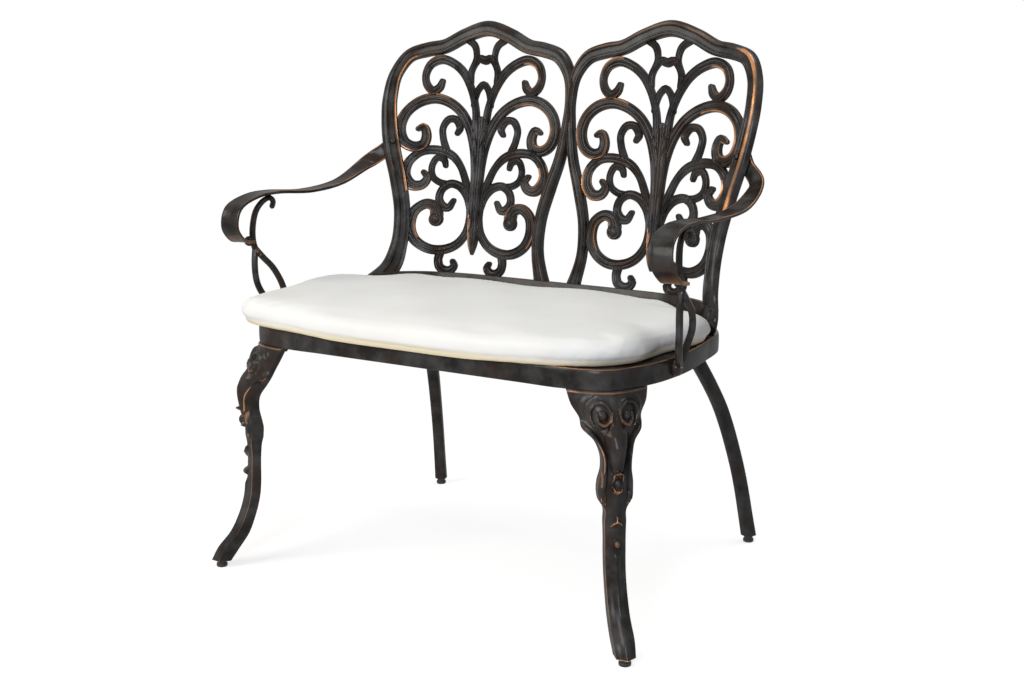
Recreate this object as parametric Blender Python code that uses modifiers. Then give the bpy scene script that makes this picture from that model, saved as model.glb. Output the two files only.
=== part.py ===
"""Cast aluminium two-seat garden bench with an openwork scroll back and a loose seat cushion.

Metres, +Z up, the front faces -Y. Heights run from the floor and depths from the line of the
front feet. A parent empty then puts the origin on the floor under the middle of the bench.
"""
import math

import bmesh
import bpy
from mathutils import Matrix, Vector

# Fits
CLEARANCE = 0.0003
BOLT_PLAY = 0.0003

# Seat casting: rim skirt with a pierced deck inside it
RIM_BOTTOM = 0.382
RIM_HEIGHT = 0.030
SKIRT_WALL = 0.007
DECK_THICKNESS = 0.007
SEAT_HALF_WIDTH = 0.364
SEAT_FRONT = 0.033
SEAT_BACK = 0.470
CORNER_INSET = 0.038
CORNER_SETBACK = 0.023
FRONT_STRAIGHT_INSET = 0.114
LATTICE_PITCH_X = 0.084
LATTICE_PITCH_Y = 0.094
LATTICE_BAR = 0.013
LATTICE_MARGIN = 0.052
LATTICE_FILL = 1.35
BOSS_RADIUS = 0.011
RIM_TOP = RIM_BOTTOM + RIM_HEIGHT
DECK_BOTTOM = RIM_TOP - DECK_THICKNESS
CORNER_X = SEAT_HALF_WIDTH - CORNER_INSET
FRONT_STRAIGHT = SEAT_HALF_WIDTH - FRONT_STRAIGHT_INSET
FRONT_STRAIGHT_LEAD = 0.060
# Outline knots of a side: (in from the side, behind the arm's foot), then (in, forward of the back)
SEAT_SIDE = [(0.020, -0.088), (0.007, -0.050), (0.0, 0.0)]
SEAT_REAR = [(0.007, 0.170), (0.024, 0.086), (0.075, 0.028), (0.184, 0.0)]

# Back casting: two arched panels on one bottom rail, leaning back, its ends swept forward
BACK_LEAN = math.radians(8.0)
RAIL_INSET = 0.0156
RAIL_TOP = 0.455
RAIL_PROUD = 0.0004
SWEEP_LOW = 0.101
SWEEP_HEIGHT = 0.297
SWEEP_POWER = 6
SWEEP_REACH = 0.165
PANEL_INSET = 0.002
PANEL_DRAWN = 0.180
RAIL_REACH = 0.158
FRAME_THICKNESS = 0.0160
STEM_THICKNESS = 0.0125
NORMAL_STEP = 0.001
PANEL_CENTRE = SEAT_HALF_WIDTH / 2 - PANEL_INSET
PANEL_STRETCH = PANEL_CENTRE / PANEL_DRAWN
RAIL_BOTTOM = RIM_TOP + CLEARANCE
RAIL_THICKNESS = FRAME_THICKNESS + 2 * RAIL_PROUD
RAIL_HALF_LENGTH = PANEL_CENTRE + RAIL_REACH * PANEL_STRETCH
SWEEP_AT = PANEL_CENTRE + SWEEP_REACH * PANEL_STRETCH
BACK_FOOT = SEAT_BACK - RAIL_INSET - RAIL_BOTTOM * math.tan(BACK_LEAN)

# Arms: a flat strip that ends in a drooping curl, carried by a forked post
ARM_BOLT_REACH = 0.1615
ARM_BOLT_UP = 0.235
STRIP_THICKNESS = 0.005
STRIP_WIDTH_BACK = 0.024
STRIP_WIDTH_FRONT = 0.036
STRIP_TAIL = 0.014
STRIP_LEAD = 0.020
STRIP_DIP = math.radians(43.8)
STRIP_WIDENING = 1.4
POST_RADIUS = 0.0055
KNOB_RADIUS = 0.0085
ARM_FOOT_Y = 0.178
ARM_FOOT_RADIUS = 0.013
ARM_FOOT_THICKNESS = 0.0095
ARM_FOOT_SKIN = 0.0020
ARM_FOOT_DROP = 0.015
POST_SINK = 0.0070
POST_LIFT = 0.0030
ARM_BOLT_X = PANEL_CENTRE + ARM_BOLT_REACH * PANEL_STRETCH
ARM_FOOT_HEIGHT = RIM_TOP - ARM_FOOT_DROP

# Legs
FRONT_FOOT_SPLAY = 0.016
REAR_FOOT_INSET = 0.037
REAR_FOOT_RAKE = 0.107
REAR_TOP_INSET = 0.102
REAR_TOP_SETBACK = 0.045
REAR_LEG_WIDTH = 0.023
REAR_LEG_DEPTH = 0.024
REAR_LEG_FLAT = 0.6
LEG_PLATE = 0.009
LEG_BOLT_SPREAD = 0.024
LEG_BOLT_REACH = 0.014
FRONT_BOLT_INSET = 0.036
FRONT_PLATE_REACH = 0.028
REAR_BOLT_INSET = 0.014
REAR_PLATE_REACH = 0.020
FRONT_FOOT_X = SEAT_HALF_WIDTH + FRONT_FOOT_SPLAY
REAR_FOOT_X = SEAT_HALF_WIDTH - REAR_FOOT_INSET
REAR_FOOT_Y = SEAT_BACK + REAR_FOOT_RAKE
REAR_TOP_X = SEAT_HALF_WIDTH - REAR_TOP_INSET
REAR_TOP_Y = SEAT_BACK - REAR_TOP_SETBACK

# Levelling glides
GLIDE_RADIUS = 0.0092
GLIDE_HEIGHT = 0.012
GLIDE_LIP = 0.0015
GLIDE_STUD_RADIUS = 0.0030
GLIDE_STUD_LENGTH = 0.0150
GLIDE_COLLAR = (0.45, 0.55)
GLIDE_SIDES = 16
LEG_TOP = RIM_BOTTOM - CLEARANCE
LEG_BOTTOM = GLIDE_HEIGHT + CLEARANCE

# Bolts: heads sit in shallow spot faces
BOLT_RADIUS = 0.0030
BOLT_HEAD_RADIUS = 0.0055
BOLT_HEAD_HEIGHT = 0.0040
BOLT_FLAT = 0.75
BOLT_SHOULDER = 0.45
BACK_BOLT_REACH = 0.016
BACK_BOLT_SHARES = (-0.72, -0.29, 0.29, 0.72)
NUT_RADIUS = 0.0058
NUT_HEIGHT = 0.0050
SPOT_DEPTH = 0.0008
SPOT_RADIUS = BOLT_HEAD_RADIUS + 2 * BOLT_PLAY
HOLE_RADIUS = BOLT_RADIUS + BOLT_PLAY

# Cushion
CUSHION_THICKNESS = 0.0405
CUSHION_CROWN = 0.009
CUSHION_SIDE_GAP = 0.002
CUSHION_OVERHANG = 0.035
CUSHION_BACK_GAP = 0.042
CUSHION_SHIFT = -0.012
CUSHION_BASE_INSET = 0.024
CUSHION_DROOP = 0.010
CUSHION_HALF_WIDTH = SEAT_HALF_WIDTH - CUSHION_SIDE_GAP
CUSHION_FRONT = SEAT_FRONT - CUSHION_OVERHANG
CUSHION_BACK = SEAT_BACK - CUSHION_BACK_GAP

SIDES = (("left", -1), ("right", 1))

# Facets
WELD = 1e-6
AXIS_WELD = 1e-5
FLAT_ANGLE = math.radians(0.2)
BAR_STEPS = 2
BEND_SLICES = 8
BEND_CROWDING = 1.35
BEND_FROM = 0.14
STRIP_STEPS = 2
OUTLINE_STEPS = 3
ROUND_SIDES = 8
ARM_FOOT_SIDES = 12
KNOB_RINGS = 6

ALUMINIUM = dict(colour=(0.030, 0.026, 0.024), roughness=0.42, metallic=0.75)
STEEL = dict(colour=(0.060, 0.052, 0.046), roughness=0.40, metallic=0.90)
PLASTIC = dict(colour=(0.012, 0.012, 0.012), roughness=0.55, metallic=0.0)
FABRIC = dict(colour=(0.86, 0.83, 0.74), roughness=0.90, metallic=0.0)


def clear_scene():
    for obj in list(bpy.data.objects):
        bpy.data.objects.remove(obj, do_unlink=True)


def make_collection(name):
    collection = bpy.data.collections.new(name)
    bpy.context.scene.collection.children.link(collection)
    return collection


def make_material(name, colour, roughness, metallic):
    material = bpy.data.materials.new(name)
    material.use_nodes = True
    shader = material.node_tree.nodes["Principled BSDF"]
    shader.inputs["Base Color"].default_value = (*colour, 1.0)
    shader.inputs["Roughness"].default_value = roughness
    shader.inputs["Metallic"].default_value = metallic
    return material


# Modelling helpers
def add_object(name, data):
    obj = bpy.data.objects.new(name, data)
    WORKBENCH.objects.link(obj)
    return obj


def object_from_bmesh(name, bm):
    bmesh.ops.recalc_face_normals(bm, faces=bm.faces)
    mesh = bpy.data.meshes.new(name)
    bm.to_mesh(mesh)
    bm.free()
    return add_object(name, mesh)


def evaluated_mesh(obj):
    """The object's mesh after its modifiers."""
    bpy.context.view_layer.update()
    graph = bpy.context.evaluated_depsgraph_get()
    return bpy.data.meshes.new_from_object(obj.evaluated_get(graph))


def solid_from_curve(obj):
    """Mesh object in the curve's place, with its caps welded on."""
    name = obj.name
    mesh = evaluated_mesh(obj)
    bm = bmesh.new()
    bm.from_mesh(mesh)
    bmesh.ops.remove_doubles(bm, verts=bm.verts, dist=WELD)
    bmesh.ops.recalc_face_normals(bm, faces=bm.faces)
    bm.to_mesh(mesh)
    bm.free()
    matrix = obj.matrix_world.copy()
    curve = obj.data
    bpy.data.objects.remove(obj)
    bpy.data.curves.remove(curve)
    solid = add_object(name, mesh)
    solid.matrix_world = matrix
    return solid


def combine(target, operation, tools, merge_flats=False):
    """Boolean the tools into the target, then drop the tools."""
    group = bpy.data.collections.new("tools")
    for tool in tools:
        group.objects.link(tool)
    bpy.context.scene.collection.children.link(group)
    modifier = target.modifiers.new("Boolean", "BOOLEAN")
    modifier.operation = operation
    modifier.solver = "EXACT"
    modifier.operand_type = "COLLECTION"
    modifier.collection = group
    mesh = evaluated_mesh(target)
    target.modifiers.remove(modifier)
    target.data = mesh
    if merge_flats:
        bm = bmesh.new()
        bm.from_mesh(mesh)
        bmesh.ops.dissolve_limit(bm, angle_limit=FLAT_ANGLE, verts=bm.verts, edges=bm.edges)
        bm.to_mesh(mesh)
        bm.free()
    for tool in tools:
        bpy.data.objects.remove(tool)
    bpy.data.collections.remove(group)
    return target


def aim(point, direction):
    """Matrix that puts an object's +Z along a direction at a point."""
    turn = Vector(direction).to_track_quat("Z", "Y").to_matrix().to_4x4()
    return Matrix.Translation(point) @ turn


def rod(name, radius, start, end, sides=ROUND_SIDES):
    """Cylinder between two points."""
    start = Vector(start)
    end = Vector(end)
    bm = bmesh.new()
    bmesh.ops.create_cone(bm, cap_ends=True, segments=sides, radius1=radius, radius2=radius,
                          depth=(end - start).length)
    bmesh.ops.transform(bm, matrix=aim((start + end) / 2, end - start), verts=bm.verts)
    return object_from_bmesh(name, bm)


def turned(name, profile, steps=ROUND_SIDES):
    """Solid of revolution about Z from (radius, height) points, top to bottom."""
    bm = bmesh.new()
    points = [bm.verts.new((radius, 0.0, height)) for radius, height in profile]
    for upper, lower in zip(points, points[1:]):
        bm.edges.new((upper, lower))
    mesh = bpy.data.meshes.new(name)
    bm.to_mesh(mesh)
    bm.free()
    obj = add_object(name, mesh)
    screw = obj.modifiers.new("Screw", "SCREW")
    screw.steps = steps
    screw.render_steps = steps
    screw.use_merge_vertices = True
    screw.merge_threshold = AXIS_WELD
    obj.data = evaluated_mesh(obj)
    obj.modifiers.clear()
    return obj


def loft(name, rings):
    """Closed solid through rings of equally many points, with flat ends."""
    bm = bmesh.new()
    loops = [[bm.verts.new(point) for point in ring] for ring in rings]
    for lower, upper in zip(loops, loops[1:]):
        for k in range(len(lower)):
            bm.faces.new((lower[k - 1], lower[k], upper[k], upper[k - 1]))
    bm.faces.new(loops[0])
    bm.faces.new(loops[-1])
    return object_from_bmesh(name, bm)


def smooth_path(points, per_span):
    """Catmull-Rom curve through the points."""
    points = [Vector(p) for p in points]
    ends = [2 * points[0] - points[1], *points, 2 * points[-1] - points[-2]]
    path = []
    for a, b, c, d in zip(ends, ends[1:], ends[2:], ends[3:]):
        for k in range(per_span):
            t = k / per_span
            path.append(b + 0.5 * t * (c - a + t * (2 * a - 5 * b + 4 * c - d
                                                    + t * (3 * b - a - 3 * c + d))))
    path.append(points[-1])
    return path


def bezier(name, knots, closed=False):
    """Curve object through the knots with automatic handles; a fourth value sets the radius."""
    curve = bpy.data.curves.new(name, "CURVE")
    curve.dimensions = "3D"
    curve.resolution_u = OUTLINE_STEPS if closed else BAR_STEPS
    spline = curve.splines.new("BEZIER")
    spline.use_cyclic_u = closed
    spline.bezier_points.add(len(knots) - 1)
    for point, knot in zip(spline.bezier_points, knots):
        point.co = knot[:3]
        point.radius = knot[3] if len(knot) > 3 else 1.0
        point.handle_left_type = "AUTO"
        point.handle_right_type = "AUTO"
    return add_object(name, curve)


def tube(name, knots, radius):
    obj = bezier(name, knots)
    obj.data.bevel_depth = radius
    obj.data.bevel_resolution = 1
    obj.data.use_fill_caps = True
    return solid_from_curve(obj)


def flat_solid(name, outline, low, high, inset=0.0):
    """Closed outline of (x, y) knots, extruded from low to high."""
    obj = bezier(name, [(x, y, 0.0) for x, y in outline], closed=True)
    obj.data.dimensions = "2D"
    obj.data.fill_mode = "BOTH"
    obj.data.extrude = (high - low) / 2
    obj.data.offset = -inset
    obj.location.z = (high + low) / 2
    solid = solid_from_curve(obj)
    solid.data.transform(solid.matrix_world)
    solid.matrix_world = Matrix.Identity(4)
    return solid


def mirrored_outline(right_half):
    """Full closed outline from its right half, front middle to back middle."""
    return right_half + [(-x, y) for x, y in reversed(right_half[1:-1])]


# Back: a flat layout of (across, up from the rail top), bent onto the leaning, swept surface
def back_point(x, up):
    """Middle of the back's thickness at x, at a height up the slope from the rail top."""
    slope = RAIL_TOP + up
    sweep = SWEEP_LOW * math.exp(-up / SWEEP_HEIGHT) * abs(x / SWEEP_AT) ** SWEEP_POWER
    return Vector((x, BACK_FOOT + slope * math.sin(BACK_LEAN) - sweep, slope * math.cos(BACK_LEAN)))


def back_normal(x, up):
    """Unit normal of the back's surface, towards the front."""
    across = back_point(x + NORMAL_STEP, up) - back_point(x - NORMAL_STEP, up)
    rise = back_point(x, up + NORMAL_STEP) - back_point(x, up - NORMAL_STEP)
    return across.cross(rise).normalized()


def on_back(x, up, proud):
    return back_point(x, up) + proud * back_normal(x, up)


# Centre lines of a panel: (across from its middle, up from the rail top, half width)
STEM_LINE = [
    (0.0, 0.2740, 0.0090), (0.0, 0.2480, 0.0117), (0.0, 0.2140, 0.0138), (0.0, 0.1655, 0.0114),
    (0.0, 0.1150, 0.0113), (0.0, 0.0800, 0.0108), (0.0, 0.0545, 0.0092), (0.0, 0.0370, 0.0045),
]
# The frame runs from the foot at the bench's end over the top to the foot at its middle
FRAME_LINE = [
    (0.1530, -0.0200, 0.0160), (0.1360, 0.0100, 0.0136), (0.1305, 0.0450, 0.0118),
    (0.1320, 0.1020, 0.0116), (0.1455, 0.1680, 0.0119), (0.1605, 0.2220, 0.0119),
    (0.1710, 0.2740, 0.0113), (0.1750, 0.3180, 0.0110), (0.1700, 0.3600, 0.0110),
    (0.1515, 0.3905, 0.0122), (0.1195, 0.4016, 0.0132), (0.0885, 0.4070, 0.0130),
    (0.0475, 0.4262, 0.0130), (0.0, 0.4392, 0.0137), (-0.0475, 0.4262, 0.0130),
    (-0.0885, 0.4070, 0.0130), (-0.1195, 0.4016, 0.0132), (-0.1515, 0.3905, 0.0122),
    (-0.1725, 0.3620, 0.0098), (-0.1788, 0.3150, 0.0068), (-0.1768, 0.2740, 0.0076),
    (-0.1678, 0.2150, 0.0088), (-0.1520, 0.1630, 0.0097), (-0.1372, 0.1020, 0.0093),
    (-0.1370, 0.0450, 0.0094), (-0.1455, 0.0090, 0.0114), (-0.1540, -0.0200, 0.0150),
]
# Arches run from their top to one foot and are mirrored; scrolls come in mirrored pairs
ARCHES = {
    "heart": (0.0098, [
        (0.0, 0.3820, 0.0078), (0.0115, 0.3858, 0.0066), (0.0205, 0.3765, 0.0056),
        (0.0272, 0.3625, 0.0054), (0.0272, 0.3425, 0.0052),
    ]),
    "gothic_arch": (0.0090, [
        (0.0, 0.3400, 0.0058), (0.0085, 0.3325, 0.0057), (0.0152, 0.3175, 0.0056),
        (0.0172, 0.3020, 0.0056),
    ]),
}
SCROLLS = {
    "top_branch": (0.0116, [
        (0.0085, 0.2450, 0.0072), (0.0145, 0.3010, 0.0058), (0.0275, 0.3355, 0.0062),
        (0.0445, 0.3610, 0.0072), (0.0650, 0.3760, 0.0077), (0.0930, 0.3832, 0.0084),
        (0.1110, 0.3740, 0.0072), (0.1188, 0.3500, 0.0060), (0.1125, 0.3340, 0.0070),
        (0.1015, 0.3265, 0.0075), (0.0900, 0.3332, 0.0070), (0.0855, 0.3440, 0.0050),
    ]),
    "upper_branch": (0.0106, [
        (0.0090, 0.2270, 0.0090), (0.0245, 0.2640, 0.0084), (0.0420, 0.2885, 0.0084),
        (0.0700, 0.3070, 0.0090), (0.1010, 0.3133, 0.0098), (0.1280, 0.3050, 0.0096),
        (0.1468, 0.2865, 0.0090), (0.1535, 0.2565, 0.0093), (0.1425, 0.2322, 0.0093),
        (0.1268, 0.2252, 0.0094), (0.1115, 0.2300, 0.0092), (0.1075, 0.2480, 0.0083),
        (0.1148, 0.2614, 0.0068), (0.1230, 0.2578, 0.0050),
    ]),
    "middle_branch": (0.0096, [
        (0.0145, 0.1400, 0.0072), (0.0245, 0.1685, 0.0064), (0.0372, 0.1935, 0.0062),
        (0.0515, 0.2085, 0.0074), (0.0830, 0.2198, 0.0084), (0.1165, 0.2150, 0.0078),
        (0.1345, 0.1945, 0.0080), (0.1355, 0.1705, 0.0092), (0.1215, 0.1552, 0.0095),
        (0.1060, 0.1575, 0.0086), (0.0988, 0.1705, 0.0070), (0.1058, 0.1792, 0.0052),
    ]),
    "lobe": (0.0084, [
        (0.0672, 0.2203, 0.0070), (0.0752, 0.2420, 0.0060), (0.0772, 0.2600, 0.0060),
        (0.0655, 0.2762, 0.0068), (0.0545, 0.2765, 0.0070), (0.0430, 0.2590, 0.0066),
        (0.0475, 0.2514, 0.0052),
    ]),
    "small_curl": (0.0076, [
        (0.0610, 0.1588, 0.0068), (0.0752, 0.1618, 0.0063), (0.0885, 0.1712, 0.0060),
        (0.0915, 0.1925, 0.0058), (0.0825, 0.2062, 0.0063), (0.0690, 0.2018, 0.0063),
        (0.0660, 0.1926, 0.0052),
    ]),
    "lower_arch": (0.0086, [
        (0.0100, 0.1175, 0.0072), (0.0170, 0.1375, 0.0078), (0.0350, 0.1560, 0.0078),
        (0.0535, 0.1598, 0.0076), (0.0695, 0.1485, 0.0068), (0.0732, 0.1310, 0.0072),
        (0.0662, 0.1190, 0.0084), (0.0550, 0.1162, 0.0072), (0.0450, 0.1295, 0.0050),
    ]),
    "ring": (0.0108, [
        (0.0098, 0.1250, 0.0072), (0.0088, 0.0980, 0.0069), (0.0150, 0.0730, 0.0068),
        (0.0312, 0.0520, 0.0076), (0.0580, 0.0402, 0.0088), (0.0840, 0.0410, 0.0089),
        (0.1080, 0.0560, 0.0086), (0.1195, 0.0865, 0.0092), (0.1130, 0.1112, 0.0089),
        (0.0940, 0.1225, 0.0090), (0.0775, 0.1165, 0.0096), (0.0755, 0.0960, 0.0135),
        (0.0757, 0.0885, 0.0085),
    ]),
    "rail_curl": (0.0094, [
        (0.0625, 0.0365, 0.0078), (0.0650, 0.0192, 0.0072), (0.0590, 0.0045, 0.0080),
        (0.0430, 0.0040, 0.0080), (0.0335, 0.0085, 0.0074), (0.0356, 0.0187, 0.0056),
    ]),
    "horn": (0.0086, [
        (0.0395, 0.4190, 0.0066), (0.0242, 0.4080, 0.0061), (0.0190, 0.3880, 0.0052),
        (0.0262, 0.3660, 0.0052),
    ]),
}


def whole_arch(half_line):
    return [(-across, up, half) for across, up, half in reversed(half_line[1:])] + half_line


def bar(name, line, thickness, side, middle):
    """Flat bar on a layout centre line, at its full thickness along the layout's Z."""
    obj = bezier(name, [(middle + side * across * PANEL_STRETCH, up, 0.0, half) for across, up, half in line])
    obj.data.twist_mode = "Z_UP"
    obj.data.bevel_mode = "OBJECT"
    obj.data.bevel_object = BAR_SECTION
    obj.data.use_fill_caps = True
    solid = solid_from_curve(obj)
    for vertex in solid.data.vertices:
        vertex.co.z = math.copysign(thickness / 2, vertex.co.z)
    return solid


def bar_section():
    """Square section of half size 1, scaled by each knot's half width."""
    curve = bpy.data.curves.new("bar_section", "CURVE")
    spline = curve.splines.new("POLY")
    corners = [(-1, -1), (1, -1), (1, 1), (-1, 1)]
    spline.points.add(len(corners) - 1)
    for point, corner in zip(spline.points, corners):
        point.co = (*corner, 0.0, 1.0)
    spline.use_cyclic_u = True
    return add_object("bar_section", curve)


def bottom_rail():
    """Rail along the foot of the back, in the flat layout."""
    low = RAIL_BOTTOM / math.cos(BACK_LEAN) - RAIL_TOP
    bm = bmesh.new()
    bmesh.ops.create_cube(bm, size=1.0)
    bmesh.ops.scale(bm, vec=(2 * RAIL_HALF_LENGTH, -low, RAIL_THICKNESS), verts=bm.verts)
    bmesh.ops.translate(bm, vec=(0.0, low / 2, 0.0), verts=bm.verts)
    return object_from_bmesh("back_panel", bm)


def bend_slices():
    """Places across the layout where it is sliced: closer together as the sweep grows."""
    places = [RAIL_HALF_LENGTH * (1 - (k / BEND_SLICES) ** BEND_CROWDING) for k in range(1, BEND_SLICES)]
    return [x for x in places if x > BEND_FROM]


def back_panel():
    back = bottom_rail()
    foot_line = min(vertex.co.y for vertex in back.data.vertices)
    bars = []
    for panel in (-1, 1):
        middle = panel * PANEL_CENTRE
        bars.append(bar("stem", STEM_LINE, STEM_THICKNESS, 1, middle))
        bars.append(bar("frame", FRAME_LINE, FRAME_THICKNESS, panel, middle))
        for name, (thickness, line) in ARCHES.items():
            bars.append(bar(name, whole_arch(line), thickness, 1, middle))
        for side in (-1, 1):
            for name, (thickness, line) in SCROLLS.items():
                bars.append(bar(name, line, thickness, side, middle))
    combine(back, "UNION", bars)
    bm = bmesh.new()
    bm.from_mesh(back.data)
    for x in bend_slices():
        for side in (-1, 1):
            bmesh.ops.bisect_plane(bm, geom=bm.verts[:] + bm.edges[:] + bm.faces[:], dist=WELD,
                                   plane_co=(side * x, 0.0, 0.0), plane_no=(1.0, 0.0, 0.0))
    bmesh.ops.triangulate(bm, faces=bm.faces)
    for vertex in bm.verts:
        x, up, proud = vertex.co
        vertex.co = on_back(x, up, proud)
        if up < foot_line + CLEARANCE:
            vertex.co.z = RAIL_BOTTOM
    bm.to_mesh(back.data)
    bm.free()
    holes = [rod("hole", HOLE_RADIUS, (x, y, RAIL_BOTTOM - CLEARANCE), (x, y, RAIL_BOTTOM + BACK_BOLT_REACH))
             for x, y in back_bolt_places()]
    for _, side in SIDES:
        x = side * ARM_BOLT_X
        holes.append(rod("hole", HOLE_RADIUS, on_back(x, ARM_BOLT_UP, -FRAME_THICKNESS),
                         on_back(x, ARM_BOLT_UP, FRAME_THICKNESS)))
        holes.append(rod("spot_face", SPOT_RADIUS, on_back(x, ARM_BOLT_UP, FRAME_THICKNESS / 2 - SPOT_DEPTH),
                         on_back(x, ARM_BOLT_UP, FRAME_THICKNESS)))
    return combine(back, "DIFFERENCE", holes)


def back_bolt_places():
    """Points of the rail's middle, at the seat top."""
    up = RAIL_BOTTOM / math.cos(BACK_LEAN) - RAIL_TOP
    xs = [share * SEAT_HALF_WIDTH for share in BACK_BOLT_SHARES]
    return [(x, back_point(x, up).y) for x in xs]


# Seat
def seat_outline():
    front = [(0.0, SEAT_FRONT), (FRONT_STRAIGHT - FRONT_STRAIGHT_LEAD, SEAT_FRONT),
             (FRONT_STRAIGHT, SEAT_FRONT), (CORNER_X, SEAT_FRONT + CORNER_SETBACK)]
    side = [(SEAT_HALF_WIDTH - inset, ARM_FOOT_Y + behind) for inset, behind in SEAT_SIDE]
    rear = [(SEAT_HALF_WIDTH - inset, SEAT_BACK - forward) for inset, forward in SEAT_REAR]
    return mirrored_outline(front + side + rear + [(0.0, SEAT_BACK)])


def lattice_cutters(bosses):
    """Diamond prisms in staggered rows, clear of the rim and the bosses."""
    half_x = (LATTICE_PITCH_X - LATTICE_BAR) / 2
    half_y = (LATTICE_PITCH_Y - LATTICE_BAR) / 2
    middle_y = (SEAT_FRONT + SEAT_BACK) / 2
    reach_x = SEAT_HALF_WIDTH - LATTICE_MARGIN
    reach_y = (SEAT_BACK - SEAT_FRONT) / 2 - LATTICE_MARGIN
    cutters = []
    rows = int(reach_y / (LATTICE_PITCH_Y / 2))
    columns = int(reach_x / (LATTICE_PITCH_X / 2))
    for row in range(-rows, rows + 1):
        for column in range(-columns, columns + 1):
            if (row + column) % 2:
                continue
            x = column * LATTICE_PITCH_X / 2
            y = middle_y + row * LATTICE_PITCH_Y / 2
            far_x = (abs(x) + half_x) / reach_x
            far_y = (abs(y - middle_y) + half_y) / reach_y
            near_boss = any(math.hypot(x - bx, y - by) < half_y + BOSS_RADIUS for bx, by in bosses)
            if far_x ** 4 + far_y ** 4 > LATTICE_FILL or near_boss:
                continue
            bm = bmesh.new()
            bmesh.ops.create_cone(bm, cap_ends=True, segments=4, radius1=1.0, radius2=1.0,
                                  depth=4 * DECK_THICKNESS)
            bmesh.ops.scale(bm, vec=(half_x, half_y, 1.0), verts=bm.verts)
            bmesh.ops.translate(bm, vec=(x, y, RIM_TOP), verts=bm.verts)
            cutters.append(object_from_bmesh("diamond", bm))
    return cutters


def seat_frame():
    bosses = [place for corner in LEG_CORNERS for place in leg_bolt_places(*corner)]
    seat = flat_solid("seat_frame", seat_outline(), RIM_BOTTOM, RIM_TOP)
    pocket = flat_solid("pocket", seat_outline(), RIM_BOTTOM - RIM_HEIGHT, DECK_BOTTOM, SKIRT_WALL)
    combine(seat, "DIFFERENCE", [pocket], merge_flats=True)
    boss_top = DECK_BOTTOM + DECK_THICKNESS / 2
    pillars = [rod("boss", BOSS_RADIUS, (x, y, RIM_BOTTOM), (x, y, boss_top)) for x, y in bosses]
    combine(seat, "UNION", pillars)
    holes = [rod("hole", HOLE_RADIUS, (x, y, RIM_BOTTOM - LEG_PLATE), (x, y, RIM_BOTTOM + LEG_BOLT_REACH))
             for x, y in bosses]
    holes += [rod("hole", HOLE_RADIUS, (x, y, RIM_BOTTOM), (x, y, RIM_TOP + RIM_HEIGHT))
              for x, y in back_bolt_places()]
    for _, side in SIDES:
        face = side * SEAT_HALF_WIDTH
        inner = face - side * 2 * SKIRT_WALL
        holes.append(rod("hole", HOLE_RADIUS, (inner, ARM_FOOT_Y, ARM_FOOT_HEIGHT),
                         (face + side * SKIRT_WALL, ARM_FOOT_Y, ARM_FOOT_HEIGHT)))
        holes.append(rod("spot_face", SPOT_RADIUS, (inner, ARM_FOOT_Y, ARM_FOOT_HEIGHT),
                         (face - side * (SKIRT_WALL - SPOT_DEPTH), ARM_FOOT_Y, ARM_FOOT_HEIGHT)))
    combine(seat, "DIFFERENCE", holes)
    return combine(seat, "DIFFERENCE", lattice_cutters(bosses), merge_flats=True)


# Legs
def leg_axes(foot, top):
    """Inward direction from foot to top in plan, and the direction across the leg."""
    inward = (Vector(top) - Vector(foot)).normalized()
    return inward, Vector((inward.y, -inward.x))


def front_foot(side):
    return Vector((side * FRONT_FOOT_X, 0.0))


def front_corner(side):
    return Vector((side * CORNER_X, SEAT_FRONT + CORNER_SETBACK))


def rear_foot(side):
    return Vector((side * REAR_FOOT_X, REAR_FOOT_Y))


def rear_top(side):
    return Vector((side * REAR_TOP_X, REAR_TOP_Y))


LEG_CORNERS = [("front", -1), ("front", 1), ("rear", -1), ("rear", 1)]


def leg_layout(end, side):
    """Foot, top, bolt inset behind the top and reach of the flange, for one leg."""
    if end == "front":
        return front_foot(side), front_corner(side), FRONT_BOLT_INSET, FRONT_PLATE_REACH
    return rear_foot(side), rear_top(side), REAR_BOLT_INSET, REAR_PLATE_REACH


def leg_bolt_places(end, side):
    """The leg's two bolts, spread across the leg behind its top."""
    foot, top, inset, _ = leg_layout(end, side)
    inward, across = leg_axes(foot, top)
    middle = top + inset * inward
    return [tuple(middle + sign * LEG_BOLT_SPREAD * across) for sign in (-1, 1)]


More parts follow.
